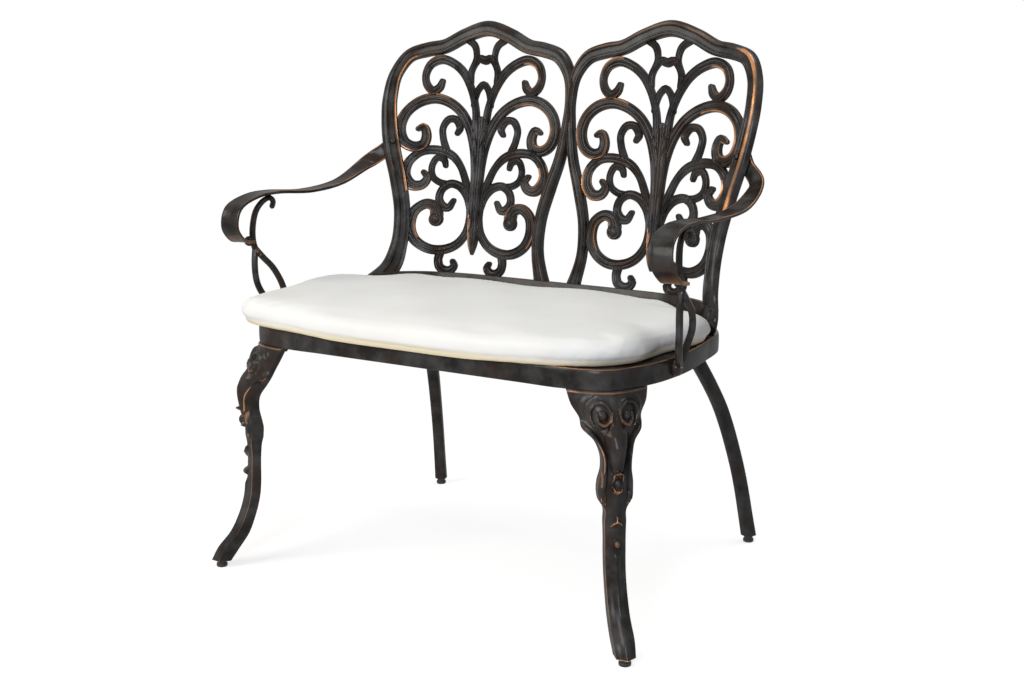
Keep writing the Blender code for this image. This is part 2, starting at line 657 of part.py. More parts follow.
# Front leg stations: share of the leg's height, half width, front line, side setback, wall, hollow.
# The front line is measured inward from the foot, before the leg is fitted to the seat corner.
FRONT_LEG_STATIONS = [
    (0.000, 0.0145, -0.0125, 0.0060, 0.0270, 0.0), (0.055, 0.0158, -0.0020, 0.0060, 0.0300, 0.0),
    (0.125, 0.0155, 0.0190, 0.0060, 0.0265, 0.0), (0.200, 0.0153, 0.0330, 0.0060, 0.0235, 0.0),
    (0.300, 0.0153, 0.0440, 0.0060, 0.0220, 0.0), (0.385, 0.0155, 0.0468, 0.0060, 0.0218, 0.0),
    (0.405, 0.0155, 0.0425, 0.0100, 0.0262, 0.0), (0.428, 0.0156, 0.0474, 0.0060, 0.0214, 0.0),
    (0.490, 0.0163, 0.0483, 0.0060, 0.0212, 0.0), (0.556, 0.0178, 0.0468, 0.0065, 0.0252, 0.0),
    (0.585, 0.0246, 0.0455, 0.0090, 0.0270, 0.0010), (0.625, 0.0258, 0.0405, 0.0130, 0.0325, 0.0010),
    (0.650, 0.0255, 0.0445, 0.0090, 0.0270, 0.0015), (0.715, 0.0214, 0.0440, 0.0080, 0.0225, 0.0020),
    (0.770, 0.0230, 0.0438, 0.0110, 0.0200, 0.0080), (0.820, 0.0310, 0.0480, 0.0200, 0.0160, 0.0200),
    (0.858, 0.0445, 0.0531, 0.0250, 0.0135, 0.0240), (0.895, 0.0462, 0.0600, 0.0260, 0.0125, 0.0250),
    (0.945, 0.0545, 0.0665, 0.0280, 0.0125, 0.0270), (1.000, 0.0595, 0.0740, 0.0300, 0.0130, 0.0285),
]


# Places of a ring's points across the leg, in half widths: along its outer face, then back inside
FRONT_LEG_OUTER = (-1.0, -0.7, -0.35, 0.0, 0.35, 0.7, 1.0)
FRONT_LEG_INNER = (0.94, 0.5, 0.0, -0.5, -0.94)


def front_leg_ring(side, station):
    share, half, front, setback, wall, hollow = station
    foot = front_foot(side)
    corner = front_corner(side)
    inward, across = leg_axes(foot, corner)
    height = LEG_BOTTOM + share * (LEG_TOP - LEG_BOTTOM)
    shift = ((corner - foot).length - FRONT_LEG_STATIONS[-1][2]) * share
    outer = [(a, front + setback * a * a) for a in FRONT_LEG_OUTER]
    inner = [(a, front + wall + hollow * a * a) for a in FRONT_LEG_INNER]
    ring = []
    for a, inset in outer + inner:
        point = foot + (inset + shift) * inward + a * half * across
        ring.append((point.x, point.y, height))
    return ring


def bolt_plate(end, side):
    """Flange at the leg's top that takes the two bolts."""
    places = [Vector(place) for place in leg_bolt_places(end, side)]
    low = LEG_TOP - LEG_PLATE
    pads = [rod("pad", BOSS_RADIUS, (*place, low), (*place, LEG_TOP)) for place in places]
    foot, top, _, reach = leg_layout(end, side)
    inward, across = leg_axes(foot, top)
    near = (places[0] + places[1]) / 2 - reach * inward
    corners = [near - LEG_BOLT_SPREAD * across, near + LEG_BOLT_SPREAD * across,
               places[1] + BOSS_RADIUS * inward, places[0] + BOSS_RADIUS * inward]
    web = loft("web", [[(p.x, p.y, height) for p in corners] for height in (low, LEG_TOP)])
    return [web] + pads


def drill_leg(leg, end, side, foot):
    """Stud bore in the foot and bolt holes in the flange."""
    bore = rod("bore", GLIDE_STUD_RADIUS + BOLT_PLAY, (*foot, 0.0),
               (*foot, LEG_BOTTOM + GLIDE_STUD_LENGTH + CLEARANCE))
    holes = [rod("hole", HOLE_RADIUS, (*place, LEG_TOP - 2 * LEG_PLATE), (*place, LEG_TOP + LEG_PLATE))
             for place in leg_bolt_places(end, side)]
    return combine(leg, "DIFFERENCE", [bore] + holes)


def front_leg(name, side):
    leg = loft(name, [front_leg_ring(side, station) for station in FRONT_LEG_STATIONS])
    combine(leg, "UNION", bolt_plate("front", side))
    return drill_leg(leg, "front", side, front_foot(side))


# Rear leg stations: share of the height, share of the way in from foot to top, size factor
REAR_LEG_STATIONS = [
    (0.00, 0.000, 0.98), (0.11, 0.060, 0.94), (0.23, 0.125, 0.92), (0.34, 0.195, 0.92), (0.45, 0.280, 0.93),
    (0.56, 0.375, 0.95), (0.67, 0.490, 0.98), (0.78, 0.640, 1.02), (0.89, 0.812, 1.08), (1.00, 1.000, 1.20),
]


def rear_leg_ring(side, station):
    share, way, factor = station
    foot = rear_foot(side)
    top = rear_top(side)
    inward, across = leg_axes(foot, top)
    middle = foot + (top - foot) * way
    height = LEG_BOTTOM + share * (LEG_TOP - LEG_BOTTOM)
    half_w = REAR_LEG_WIDTH / 2 * factor
    half_d = REAR_LEG_DEPTH / 2 * factor
    ring = []
    flat = REAR_LEG_FLAT
    corners = [(-1, -flat), (-flat, -1), (flat, -1), (1, -flat), (1, flat), (flat, 1), (-flat, 1), (-1, flat)]
    for a, d in corners:
        point = middle + a * half_w * across + d * half_d * inward
        ring.append((point.x, point.y, height))
    return ring


def rear_leg(name, side):
    leg = loft(name, [rear_leg_ring(side, station) for station in REAR_LEG_STATIONS])
    combine(leg, "UNION", bolt_plate("rear", side))
    return drill_leg(leg, "rear", side, rear_foot(side))


# Arms
def strip_seat(side, outward=0.0):
    """Point behind the back's upright on the strip's middle, at a distance out from the bolt."""
    x = side * ARM_BOLT_X
    behind = FRAME_THICKNESS / 2 + 2 * CLEARANCE + STRIP_THICKNESS / 2
    normal = back_normal(x, ARM_BOLT_UP)
    level = Vector((0.0, 0.0, 1.0)).cross(normal).normalized() * side
    downhill = level.cross(normal) * side
    run = level * math.cos(STRIP_DIP) + downhill * math.sin(STRIP_DIP)
    return on_back(x, ARM_BOLT_UP, -behind) + outward * run


# Lines of the arm: (x beyond the seat's side, share of the way from the arm's foot to the seat's back,
# height above the seat top as a share of the bolt's height). First the strip, in front of the back.
ARM_LINE = [
    (0.0175, 0.8425, 0.9872), (0.0225, 0.5873, 0.8672), (0.0180, 0.2551, 0.8379),
    (0.0215, -0.0325, 0.8604), (0.0220, -0.2144, 0.8498), (0.0255, -0.3548, 0.7830),
    (0.0290, -0.3808, 0.6511), (0.0325, -0.3082, 0.5489), (0.0325, -0.2260, 0.5255),
]


def arm_point(side, knot):
    beyond, way, rise = knot
    return Vector((side * (SEAT_HALF_WIDTH + beyond), ARM_FOOT_Y + way * (SEAT_BACK - ARM_FOOT_Y),
                   RIM_TOP + rise * ARM_BOLT_UP))


def arm_strip(side):
    knots = [strip_seat(side, -STRIP_TAIL), strip_seat(side), strip_seat(side, STRIP_LEAD)]
    knots += [arm_point(side, knot) for knot in ARM_LINE]
    path = smooth_path(knots, STRIP_STEPS)
    seat_normal = back_normal(side * ARM_BOLT_X, ARM_BOLT_UP)
    flat_until = 2 * STRIP_STEPS
    level_from = 4 * STRIP_STEPS
    rings = []
    for k, point in enumerate(path):
        ahead = path[min(k + 1, len(path) - 1)] - path[max(k - 1, 0)]
        tangent = ahead.normalized()
        level = tangent.cross(Vector((1.0, 0.0, 0.0))).normalized()
        if level.dot(seat_normal) < 0 and k <= level_from:
            level = -level
        blend = min(max((k - flat_until) / (level_from - flat_until), 0.0), 1.0)
        normal = seat_normal.lerp(level, blend)
        normal = (normal - normal.dot(tangent) * tangent).normalized()
        across = tangent.cross(normal)
        share = k / (len(path) - 1)
        widened = min(share * STRIP_WIDENING, 1.0)
        half = (STRIP_WIDTH_BACK + (STRIP_WIDTH_FRONT - STRIP_WIDTH_BACK) * widened) / 2
        thick = STRIP_THICKNESS / 2
        rings.append([point - half * across - thick * normal, point + half * across - thick * normal,
                      point + half * across + thick * normal, point - half * across + thick * normal])
    return loft("strip", rings)


# Forked post
POST_TRUNK = [
    (0.0230, -0.0411, 0.7574), (0.0230, -0.0308, 0.7872), (0.0230, -0.0548, 0.8191),
    (0.0235, -0.1027, 0.8106), (0.0260, -0.1644, 0.7489), (0.0285, -0.1918, 0.6383),
    (0.0300, -0.1866, 0.5106), (0.0305, -0.1575, 0.4298),
]
POST_FRONT = [
    (0.0305, -0.1712, 0.4596), (0.0300, -0.1815, 0.3660), (0.0282, -0.1678, 0.2043),
    (0.0200, -0.1096, 0.0723),
]
POST_REAR = [
    (0.0305, -0.1678, 0.4638), (0.0302, -0.1096, 0.3957), (0.0285, -0.0308, 0.3064),
    (0.0225, 0.0205, 0.1830), (0.0140, 0.0240, 0.0681),
]


def post_bar(name, side, line, end=()):
    return tube(name, [arm_point(side, knot) for knot in line] + list(end), POST_RADIUS)


def knob(side):
    bm = bmesh.new()
    bmesh.ops.create_uvsphere(bm, u_segments=ROUND_SIDES, v_segments=KNOB_RINGS, radius=KNOB_RADIUS)
    middle = arm_point(side, ARM_LINE[-1]) + Vector((0.0, KNOB_RADIUS / 2, 0.0))
    bmesh.ops.translate(bm, vec=middle, verts=bm.verts)
    return object_from_bmesh("knob", bm)


def arm(name, side):
    face = side * (SEAT_HALF_WIDTH + CLEARANCE)
    outer = face + side * ARM_FOOT_THICKNESS
    foot_middle = (side * (SEAT_HALF_WIDTH + POST_SINK), ARM_FOOT_Y, ARM_FOOT_HEIGHT + POST_LIFT)
    casting = rod(name, ARM_FOOT_RADIUS, (face, ARM_FOOT_Y, ARM_FOOT_HEIGHT),
                  (outer, ARM_FOOT_Y, ARM_FOOT_HEIGHT), sides=ARM_FOOT_SIDES)
    combine(casting, "UNION", [arm_strip(side), knob(side), post_bar("trunk", side, POST_TRUNK),
                               post_bar("front_bar", side, POST_FRONT, [foot_middle]),
                               post_bar("rear_bar", side, POST_REAR, [foot_middle])])
    x = side * ARM_BOLT_X
    holes = [rod("hole", HOLE_RADIUS, on_back(x, ARM_BOLT_UP, 0.0),
                 on_back(x, ARM_BOLT_UP, -2 * FRAME_THICKNESS)),
             rod("hole", HOLE_RADIUS, (face - side * SKIRT_WALL, ARM_FOOT_Y, ARM_FOOT_HEIGHT),
                 (outer - side * ARM_FOOT_SKIN, ARM_FOOT_Y, ARM_FOOT_HEIGHT))]
    return combine(casting, "DIFFERENCE", holes)


# Bolts, nuts and glides
def bolt(name, point, direction, length):
    """Button-head bolt: the head stands on the point and the shank runs back along the direction."""
    head = BOLT_HEAD_HEIGHT
    obj = turned(name, [
        (0.0, head), (BOLT_HEAD_RADIUS * BOLT_FLAT, head), (BOLT_HEAD_RADIUS, head * BOLT_SHOULDER),
        (BOLT_HEAD_RADIUS, 0.0), (BOLT_RADIUS, 0.0), (BOLT_RADIUS, -length), (0.0, -length)])
    obj.matrix_world = aim(point, direction)
    return obj


def nut(name, point, direction):
    obj = rod(name, NUT_RADIUS, (0.0, 0.0, -NUT_HEIGHT), (0.0, 0.0, 0.0), sides=6)
    hole = rod("hole", HOLE_RADIUS, (0.0, 0.0, -2 * NUT_HEIGHT), (0.0, 0.0, NUT_HEIGHT))
    combine(obj, "DIFFERENCE", [hole])
    obj.matrix_world = aim(point, direction)
    return obj


def glide(name, foot):
    stud_top = GLIDE_HEIGHT + GLIDE_STUD_LENGTH
    neck = GLIDE_RADIUS - GLIDE_LIP
    collar_low, collar_high = GLIDE_COLLAR
    obj = turned(name, [
        (0.0, stud_top), (GLIDE_STUD_RADIUS, stud_top), (GLIDE_STUD_RADIUS, GLIDE_HEIGHT),
        (neck, GLIDE_HEIGHT), (neck, GLIDE_HEIGHT * collar_high), (GLIDE_RADIUS, GLIDE_HEIGHT * collar_low),
        (GLIDE_RADIUS, GLIDE_LIP), (neck, 0.0), (0.0, 0.0)], steps=GLIDE_SIDES)
    obj.location = (*foot, 0.0)
    return obj


def fasteners():
    made = []
    head_seat = FRAME_THICKNESS / 2 - SPOT_DEPTH + CLEARANCE
    nut_seat = -(FRAME_THICKNESS / 2 + STRIP_THICKNESS + 3 * CLEARANCE)
    foot_seat = SEAT_HALF_WIDTH - SKIRT_WALL + SPOT_DEPTH - CLEARANCE
    foot_end = SEAT_HALF_WIDTH + ARM_FOOT_THICKNESS - ARM_FOOT_SKIN
    for word, side in SIDES:
        x = side * ARM_BOLT_X
        normal = back_normal(x, ARM_BOLT_UP)
        made.append(bolt(f"{word}_arm_back_bolt", on_back(x, ARM_BOLT_UP, head_seat), normal,
                         head_seat - nut_seat + NUT_HEIGHT))
        made.append(nut(f"{word}_arm_back_nut", on_back(x, ARM_BOLT_UP, nut_seat), normal))
        made.append(bolt(f"{word}_arm_seat_bolt", (side * foot_seat, ARM_FOOT_Y, ARM_FOOT_HEIGHT),
                         (-side, 0.0, 0.0), foot_end - foot_seat))
        for end in ("front", "rear"):
            for number, place in enumerate(leg_bolt_places(end, side), start=1):
                made.append(bolt(f"{word}_{end}_leg_bolt_{number}", (*place, LEG_TOP - LEG_PLATE - CLEARANCE),
                                 (0.0, 0.0, -1.0), LEG_PLATE + LEG_BOLT_REACH - CLEARANCE))
    for number, place in enumerate(back_bolt_places(), start=1):
        made.append(bolt(f"back_seat_bolt_{number}", (*place, DECK_BOTTOM - CLEARANCE), (0.0, 0.0, -1.0),
                         DECK_THICKNESS + BACK_BOLT_REACH - CLEARANCE))
    return made


# Cushion: rings of one outline, each drawn in by a distance at a height above the seat.
# Outline knots of a side: (in from the side, behind the front), then (in, forward of the back)
CUSHION_FRONT_KNOTS = [
    (0.170, 0.009), (0.085, 0.026), (0.026, 0.060), (0.0, 0.105), (0.004, 0.185), (0.005, 0.240),
]
CUSHION_REAR_KNOTS = [
    (0.016, 0.128), (0.048, 0.080), (0.071, 0.047), (0.103, 0.018), (0.155, 0.001),
]


def cushion_outline():
    front = [(CUSHION_HALF_WIDTH - inset, CUSHION_FRONT + behind) for inset, behind in CUSHION_FRONT_KNOTS]
    rear = [(CUSHION_HALF_WIDTH - inset, CUSHION_BACK - forward) for inset, forward in CUSHION_REAR_KNOTS]
    return mirrored_outline([(0.0, CUSHION_FRONT)] + front + rear + [(0.0, CUSHION_BACK)])


def cushion_droop(y):
    """Fall of the edge that hangs over the front rim."""
    overhang = (CUSHION_FRONT + CUSHION_BASE_INSET - y) / CUSHION_BASE_INSET
    share = min(max(overhang, 0.0), 1.0)
    return CUSHION_DROOP * share * share * (3 - 2 * share)


# Side profile from base to top: (drawn in, share of the thickness)
CUSHION_SIDE = [
    (CUSHION_BASE_INSET, 0.0), (0.009, 0.08), (0.002, 0.25), (0.0, 0.45), (0.002, 0.67), (0.008, 0.87),
    (0.020, 1.0),
]
CROWN_SHARES = (0.25, 0.5, 0.75)


def seat_cushion():
    knots = [Vector((x, y, 0.0)) for x, y in cushion_outline()]
    outline = smooth_path(knots + knots[:1], OUTLINE_STEPS)[:-1]
    middle = Vector((0.0, (CUSHION_FRONT + CUSHION_BACK) / 2, 0.0))
    low = RIM_TOP + CLEARANCE
    rings = []
    for inset, share in CUSHION_SIDE:
        ring = [point - inset * (point - middle).normalized() for point in outline]
        rise = low + share * CUSHION_THICKNESS
        rings.append([(p.x, p.y, rise - (1 - share) * cushion_droop(p.y)) for p in ring])
    for share in CROWN_SHARES:
        rise = low + CUSHION_THICKNESS + CUSHION_CROWN * math.sin(share * math.pi / 2)
        rings.append([middle.lerp(p, 1.0 - share) + Vector((0.0, 0.0, rise)) for p in ring])
    cushion = loft("seat_cushion", rings)
    cushion.location.x = CUSHION_SHIFT
    return cushion


def dress(parts, material, smooth_angle=30.0):
    for part in parts:
        part.data.materials.clear()
        part.data.materials.append(material)
        part.data.shade_smooth()
        part.data.set_sharp_from_angle(angle=math.radians(smooth_angle))


def main():
    cast = make_material("bronze_coated_aluminium", **ALUMINIUM)
    steel = make_material("dark_steel", **STEEL)
    plastic = make_material("black_plastic", **PLASTIC)
    fabric = make_material("cream_canvas", **FABRIC)
    castings = [back_panel(), seat_frame()]
    glides = []
    for word, side in SIDES:
        castings.append(arm(f"{word}_arm", side))
        castings.append(front_leg(f"{word}_front_leg", side))
        castings.append(rear_leg(f"{word}_rear_leg", side))
        glides.append(glide(f"{word}_front_glide", front_foot(side)))
        glides.append(glide(f"{word}_rear_glide", rear_foot(side)))
    bolts = fasteners()
    cushions = [seat_cushion()]
    dress(castings, cast)
    dress(glides, plastic)
    dress(bolts, steel)
    dress(cushions, fabric, 60.0)
    parts = castings + glides + bolts + cushions
    bpy.context.view_layer.update()
    depths = [(part.matrix_world @ vertex.co).y for part in parts for vertex in part.data.vertices]
    middle = bpy.data.objects.new("bench_middle", None)
    PARTS.objects.link(middle)
    middle.location.y = -(min(depths) + max(depths)) / 2
    for part in parts:
        WORKBENCH.objects.unlink(part)
        PARTS.objects.link(part)
        part.parent = middle
    section = BAR_SECTION.data
    bpy.data.objects.remove(BAR_SECTION)
    bpy.data.curves.remove(section)


clear_scene()
PARTS = make_collection("cast_bench")
WORKBENCH = make_collection("workbench")
BAR_SECTION = bar_section()
main()
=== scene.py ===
"""Looks of a cast aluminium garden bench with an openwork scroll back and a loose cushion.

Metres, +Z up, the front faces -Y. Lines are given with depths from the front feet, as the
casting was drawn, and each finished mesh is then moved back by that distance.
"""
import math

import bmesh
import bpy
import numpy as np
from mathutils import Matrix, Vector


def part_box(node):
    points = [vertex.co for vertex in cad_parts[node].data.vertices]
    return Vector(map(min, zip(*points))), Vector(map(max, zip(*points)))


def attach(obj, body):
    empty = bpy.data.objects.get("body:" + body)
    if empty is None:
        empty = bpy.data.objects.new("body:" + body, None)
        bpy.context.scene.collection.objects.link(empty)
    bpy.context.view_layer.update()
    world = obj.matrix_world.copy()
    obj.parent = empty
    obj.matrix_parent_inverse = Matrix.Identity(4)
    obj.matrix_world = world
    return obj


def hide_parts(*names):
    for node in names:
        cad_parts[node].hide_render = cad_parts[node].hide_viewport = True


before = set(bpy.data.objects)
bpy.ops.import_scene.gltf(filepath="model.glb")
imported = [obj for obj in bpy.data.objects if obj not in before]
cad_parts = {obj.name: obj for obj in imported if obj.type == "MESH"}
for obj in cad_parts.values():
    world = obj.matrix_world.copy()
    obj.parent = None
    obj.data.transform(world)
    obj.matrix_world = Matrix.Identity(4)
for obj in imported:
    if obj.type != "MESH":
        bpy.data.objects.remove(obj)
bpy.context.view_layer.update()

bl_info = {
    "name": "Cast Garden Bench",
    "version": (1, 0, 0),
    "blender": (4, 5, 0),
    "location": "View3D > Sidebar > Bench",
    "description": "Builds the looks of a cast garden bench around its packed parts",
    "category": "Add Mesh",
}

GLIDES = [f"{side}_{end}_glide" for side in ("left", "right") for end in ("front", "rear")]
SIDES = (("left", -1), ("right", 1))


def middle_of(node):
    low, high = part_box(node)
    return (low + high) / 2


FOOT_LINE = middle_of("left_front_glide").y
SEAT_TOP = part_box("seat_frame")[1].z
SEAT_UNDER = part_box("seat_frame")[0].z
SEAT_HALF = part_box("seat_frame")[1].x
FIT = 0.0003
WELD = 1e-6
UP = Vector((0.0, 0.0, 1.0))


# Lines and shapes
def hex_colour(code):
    """Linear colour of an sRGB hex code."""
    values = [int(code[k:k + 2], 16) / 255 for k in (0, 2, 4)]
    return (*[v / 12.92 if v <= 0.04045 else ((v + 0.055) / 1.055) ** 2.4 for v in values], 1.0)


def smooth_step(value, low, high):
    share = np.clip((value - low) / (high - low), 0.0, 1.0)
    return share * share * (3 - 2 * share)


def slope(a, b, c, before, after):
    return ((b - a) / before * after + (c - b) / after * before) / (before + after)


def flow(knots, spacing, closed=False, place=3):
    """Rows along a smooth line through the knots, about spacing apart in their first values."""
    knots = np.array(knots, float)
    if closed:
        rows = np.vstack([knots[-1:], knots, knots[:2]])
    else:
        rows = np.vstack([2 * knots[0] - knots[1], knots, 2 * knots[-1] - knots[-2]])
    steps = np.linalg.norm(np.diff(rows[:, :place], axis=0), axis=1)
    made = []
    for k in range(1, len(rows) - 2):
        a, b, c, d = rows[k - 1:k + 3]
        span = steps[k]
        leave = span * slope(a, b, c, steps[k - 1], span)
        arrive = span * slope(b, c, d, span, steps[k + 1])
        count = max(1, round(span / spacing))
        for t in np.arange(count) / count:
            made.append((2 * t ** 3 - 3 * t ** 2 + 1) * b + (t ** 3 - 2 * t ** 2 + t) * leave
                        + (3 * t ** 2 - 2 * t ** 3) * c + (t ** 3 - t ** 2) * arrive)
    if not closed:
        made.append(rows[-2])
    return [tuple(row.tolist()) for row in made]


def add_object(name, data):
    obj = bpy.data.objects.new(name, data)
    bpy.context.scene.collection.objects.link(obj)
    return obj


def object_from(bm, name):
    bmesh.ops.recalc_face_normals(bm, faces=bm.faces)
    mesh = bpy.data.meshes.new(name)
    bm.to_mesh(mesh)
    bm.free()
    return add_object(name, mesh)


def evaluated_mesh(obj):
    bpy.context.view_layer.update()
    graph = bpy.context.evaluated_depsgraph_get()
    return bpy.data.meshes.new_from_object(obj.evaluated_get(graph))


def take_curve(obj):
    """The curve object's shape as a bmesh, with the curve dropped."""
    mesh = evaluated_mesh(obj)
    curve = obj.data
    bpy.data.objects.remove(obj)
    bpy.data.curves.remove(curve)
    bm = bmesh.new()
    bm.from_mesh(mesh)
    bpy.data.meshes.remove(mesh)
    return bm


def close_up(bm):
    """Weld, cap and turn the faces outwards."""
    bmesh.ops.remove_doubles(bm, verts=bm.verts, dist=WELD)
    bmesh.ops.holes_fill(bm, edges=bm.edges)
    bmesh.ops.recalc_face_normals(bm, faces=bm.faces)


def skin(name, rings, worn=None):
    """Closed skin through rings of equally many points: a grid rolled up and set on them."""
    rings = np.array(rings, float)
    count, around = rings.shape[:2]
    bm = bmesh.new()
    bmesh.ops.create_grid(bm, x_segments=around, y_segments=count - 1, size=1.0)
    layer = bm.verts.layers.float.new("worn")
    for vertex in bm.verts:
        column = round((vertex.co.x + 1) / 2 * around) % around
        row = round((vertex.co.y + 1) / 2 * (count - 1))
        vertex.co = rings[row, column]
        vertex[layer] = 0.0 if worn is None else worn[row, column]
    close_up(bm)
    return object_from(bm, name)


def poly_curve(name, points, radii=None, closed=False):
    curve = bpy.data.curves.new(name, "CURVE")
    curve.dimensions = "3D"
    spline = curve.splines.new("POLY")
    spline.use_cyclic_u = closed
    spline.points.add(len(points) - 1)
    for k, point in enumerate(points):
        spline.points[k].co = (*point, 1.0)
        if radii is not None:
            spline.points[k].radius = radii[k]
    return add_object(name, curve)


def swept(name, points, section, radii=None, closed=False):
    """A closed section swept along a line, its second axis upright, ring by ring."""
    outline = poly_curve("section", [(*row, 0.0) for row in section], closed=True)
    obj = poly_curve(name, points, radii, closed)
    obj.data.twist_mode = "Z_UP"
    obj.data.bevel_mode = "OBJECT"
    obj.data.bevel_object = outline
    bm = take_curve(obj)
    curve = outline.data
    bpy.data.objects.remove(outline)
    bpy.data.curves.remove(curve)
    return bm


TIP_STEPS = 4
TIP_END = 0.02
TUBE_RESOLUTION = 2


def rounded_tips(points, radii):
    """Adds points past both ends that taper the radius like a ball."""
    points = [Vector(p) for p in points]
    radii = list(radii)
    turns = [k / TIP_STEPS * math.pi / 2 for k in range(1, TIP_STEPS)]
    for last, before in ((0, 1), (-1, -2)):
        end, size = points[last], radii[last]
        out = (end - points[before]).normalized()
        tip = [end + out * size * math.sin(turn) for turn in turns] + [end + out * size]
        taper = [size * math.cos(turn) for turn in turns] + [size * TIP_END]
        if last == 0:
            points, radii = tip[::-1] + points, taper[::-1] + radii
        else:
            points, radii = points + tip, radii + taper
    return points, radii


def tube(name, points, radii):
    """Round bar with ball ends."""
    obj = poly_curve(name, *rounded_tips(points, radii))
    obj.data.twist_mode = "MINIMUM"
    obj.data.bevel_depth = 1.0
    obj.data.bevel_resolution = TUBE_RESOLUTION
    bm = take_curve(obj)
    close_up(bm)
    return object_from(bm, name)


def turned(name, profile, sides, matrix):
    """Solid of revolution about Z from (radius, height) points."""
    bm = bmesh.new()
    points = [bm.verts.new((radius, 0.0, height)) for radius, height in profile]
    for upper, lower in zip(points, points[1:]):
        bm.edges.new((upper, lower))
    bmesh.ops.spin(bm, geom=bm.verts[:] + bm.edges[:], cent=(0.0, 0.0, 0.0), axis=(0.0, 0.0, 1.0),
                   angle=2 * math.pi, steps=sides, use_merge=True)
    bmesh.ops.remove_doubles(bm, verts=bm.verts, dist=WELD * 10)
    bmesh.ops.transform(bm, matrix=matrix, verts=bm.verts)
    return object_from(bm, name)


def aim(point, direction):
    return Matrix.Translation(point) @ Vector(direction).to_track_quat("Z", "Y").to_matrix().to_4x4()


def combine(target, tools, operation="UNION"):
    """Boolean the tools into the target, then drop the tools."""
    group = bpy.data.collections.new("tools")
    for tool in tools:
        group.objects.link(tool)
    bpy.context.scene.collection.children.link(group)
    modifier = target.modifiers.new("Boolean", "BOOLEAN")
    modifier.operation = operation
    modifier.solver = "EXACT"
    modifier.operand_type = "COLLECTION"
    modifier.collection = group
    mesh = evaluated_mesh(target)
    target.modifiers.remove(modifier)
    old = target.data
    target.data = mesh
    bpy.data.meshes.remove(old)
    for tool in tools:
        data = tool.data
        bpy.data.objects.remove(tool)
        bpy.data.meshes.remove(data)
    bpy.data.collections.remove(group)


# Outward bend per metre at which the coat starts to be rubbed, and is rubbed through
EDGE_WEAR = (260.0, 620.0)
ARM_WEAR = (420.0, 900.0)
RELIEF_WEAR = (500.0, 1100.0)
SHORT_EDGE = 0.0005


def mark_worn(obj, wear):
    """Marks where the surface bends outwards sharply: there the coat is rubbed through."""
    bm = bmesh.new()
    bm.from_mesh(obj.data)
    bm.normal_update()
    layer = bm.verts.layers.float.get("worn") or bm.verts.layers.float.new("worn")
    for vertex in bm.verts:
        bends = [0.0]
        for edge in vertex.link_edges:
            step = vertex.co - edge.other_vert(vertex).co
            if step.length > SHORT_EDGE:
                bends.append(2 * vertex.normal.dot(step) / step.length_squared)
        vertex[layer] = max(vertex[layer], smooth_step(max(bends), *wear))
    bm.to_mesh(obj.data)
    bm.free()


def finish_piece(obj, maker, body, slot, *replaced, smooth_angle=34.0):
    """Moves the mesh to its place, dresses it and ties it to its body."""
    if not obj.data.polygons:
        raise RuntimeError(f"{obj.name} came out empty")
    obj.data.transform(Matrix.Translation((0.0, FOOT_LINE, 0.0)))
    obj.data.materials.clear()
    obj.data.materials.append(shared_material(maker))
    obj.data.shade_smooth()
    obj.data.set_sharp_from_angle(angle=math.radians(smooth_angle))
    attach(obj, body)
    if replaced:
        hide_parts(*replaced)


# Materials
def plug(node, inputs):
    """Sets a node's inputs to values, or links them to sockets."""
    for key, value in inputs.items():
        if isinstance(value, bpy.types.NodeSocket):
            node.id_data.links.new(value, node.inputs[key])
        else:
            node.inputs[key].default_value = value


def add(tree, kind, inputs=(), out=0, **settings):
    """Adds a node with its settings and inputs, and gives one of its outputs."""
    made = tree.nodes.new("ShaderNode" + kind)
    for key, value in settings.items():
        setattr(made, key, value)
    plug(made, dict(inputs))
    return made.outputs[out]


def new_material(name, **sockets):
    material = bpy.data.materials.new(name)
    material.use_nodes = True
    tree = material.node_tree
    shader = tree.nodes["Principled BSDF"]
    plug(shader, {key.replace("_", " "): value for key, value in sockets.items()})
    return material, tree, shader, add(tree, "TexCoord", out="Object")


# Sizes of the patterns in metres
CLOUD = 0.030
STAIN = 0.055
RUBBING = 0.045
SHEEN = 0.018
GRAIN = 0.0016
PLATING = 0.004
MOTTLE = 0.006
FADING = 0.11
BOARD = 0.6
# The canvas's threads of about 0.5 mm are too fine for the picture, so the weave is drawn coarser
WEAVE = 0.005655
WAVE_BANDS = math.pi / 10
# Heights above the seat between which the painted warm shade on the cloth's underside fades into the cloth's
# own colour
PAINTED_SHADE_BAND = (0.004, 0.014)
BUMP_DEPTH = 0.0003


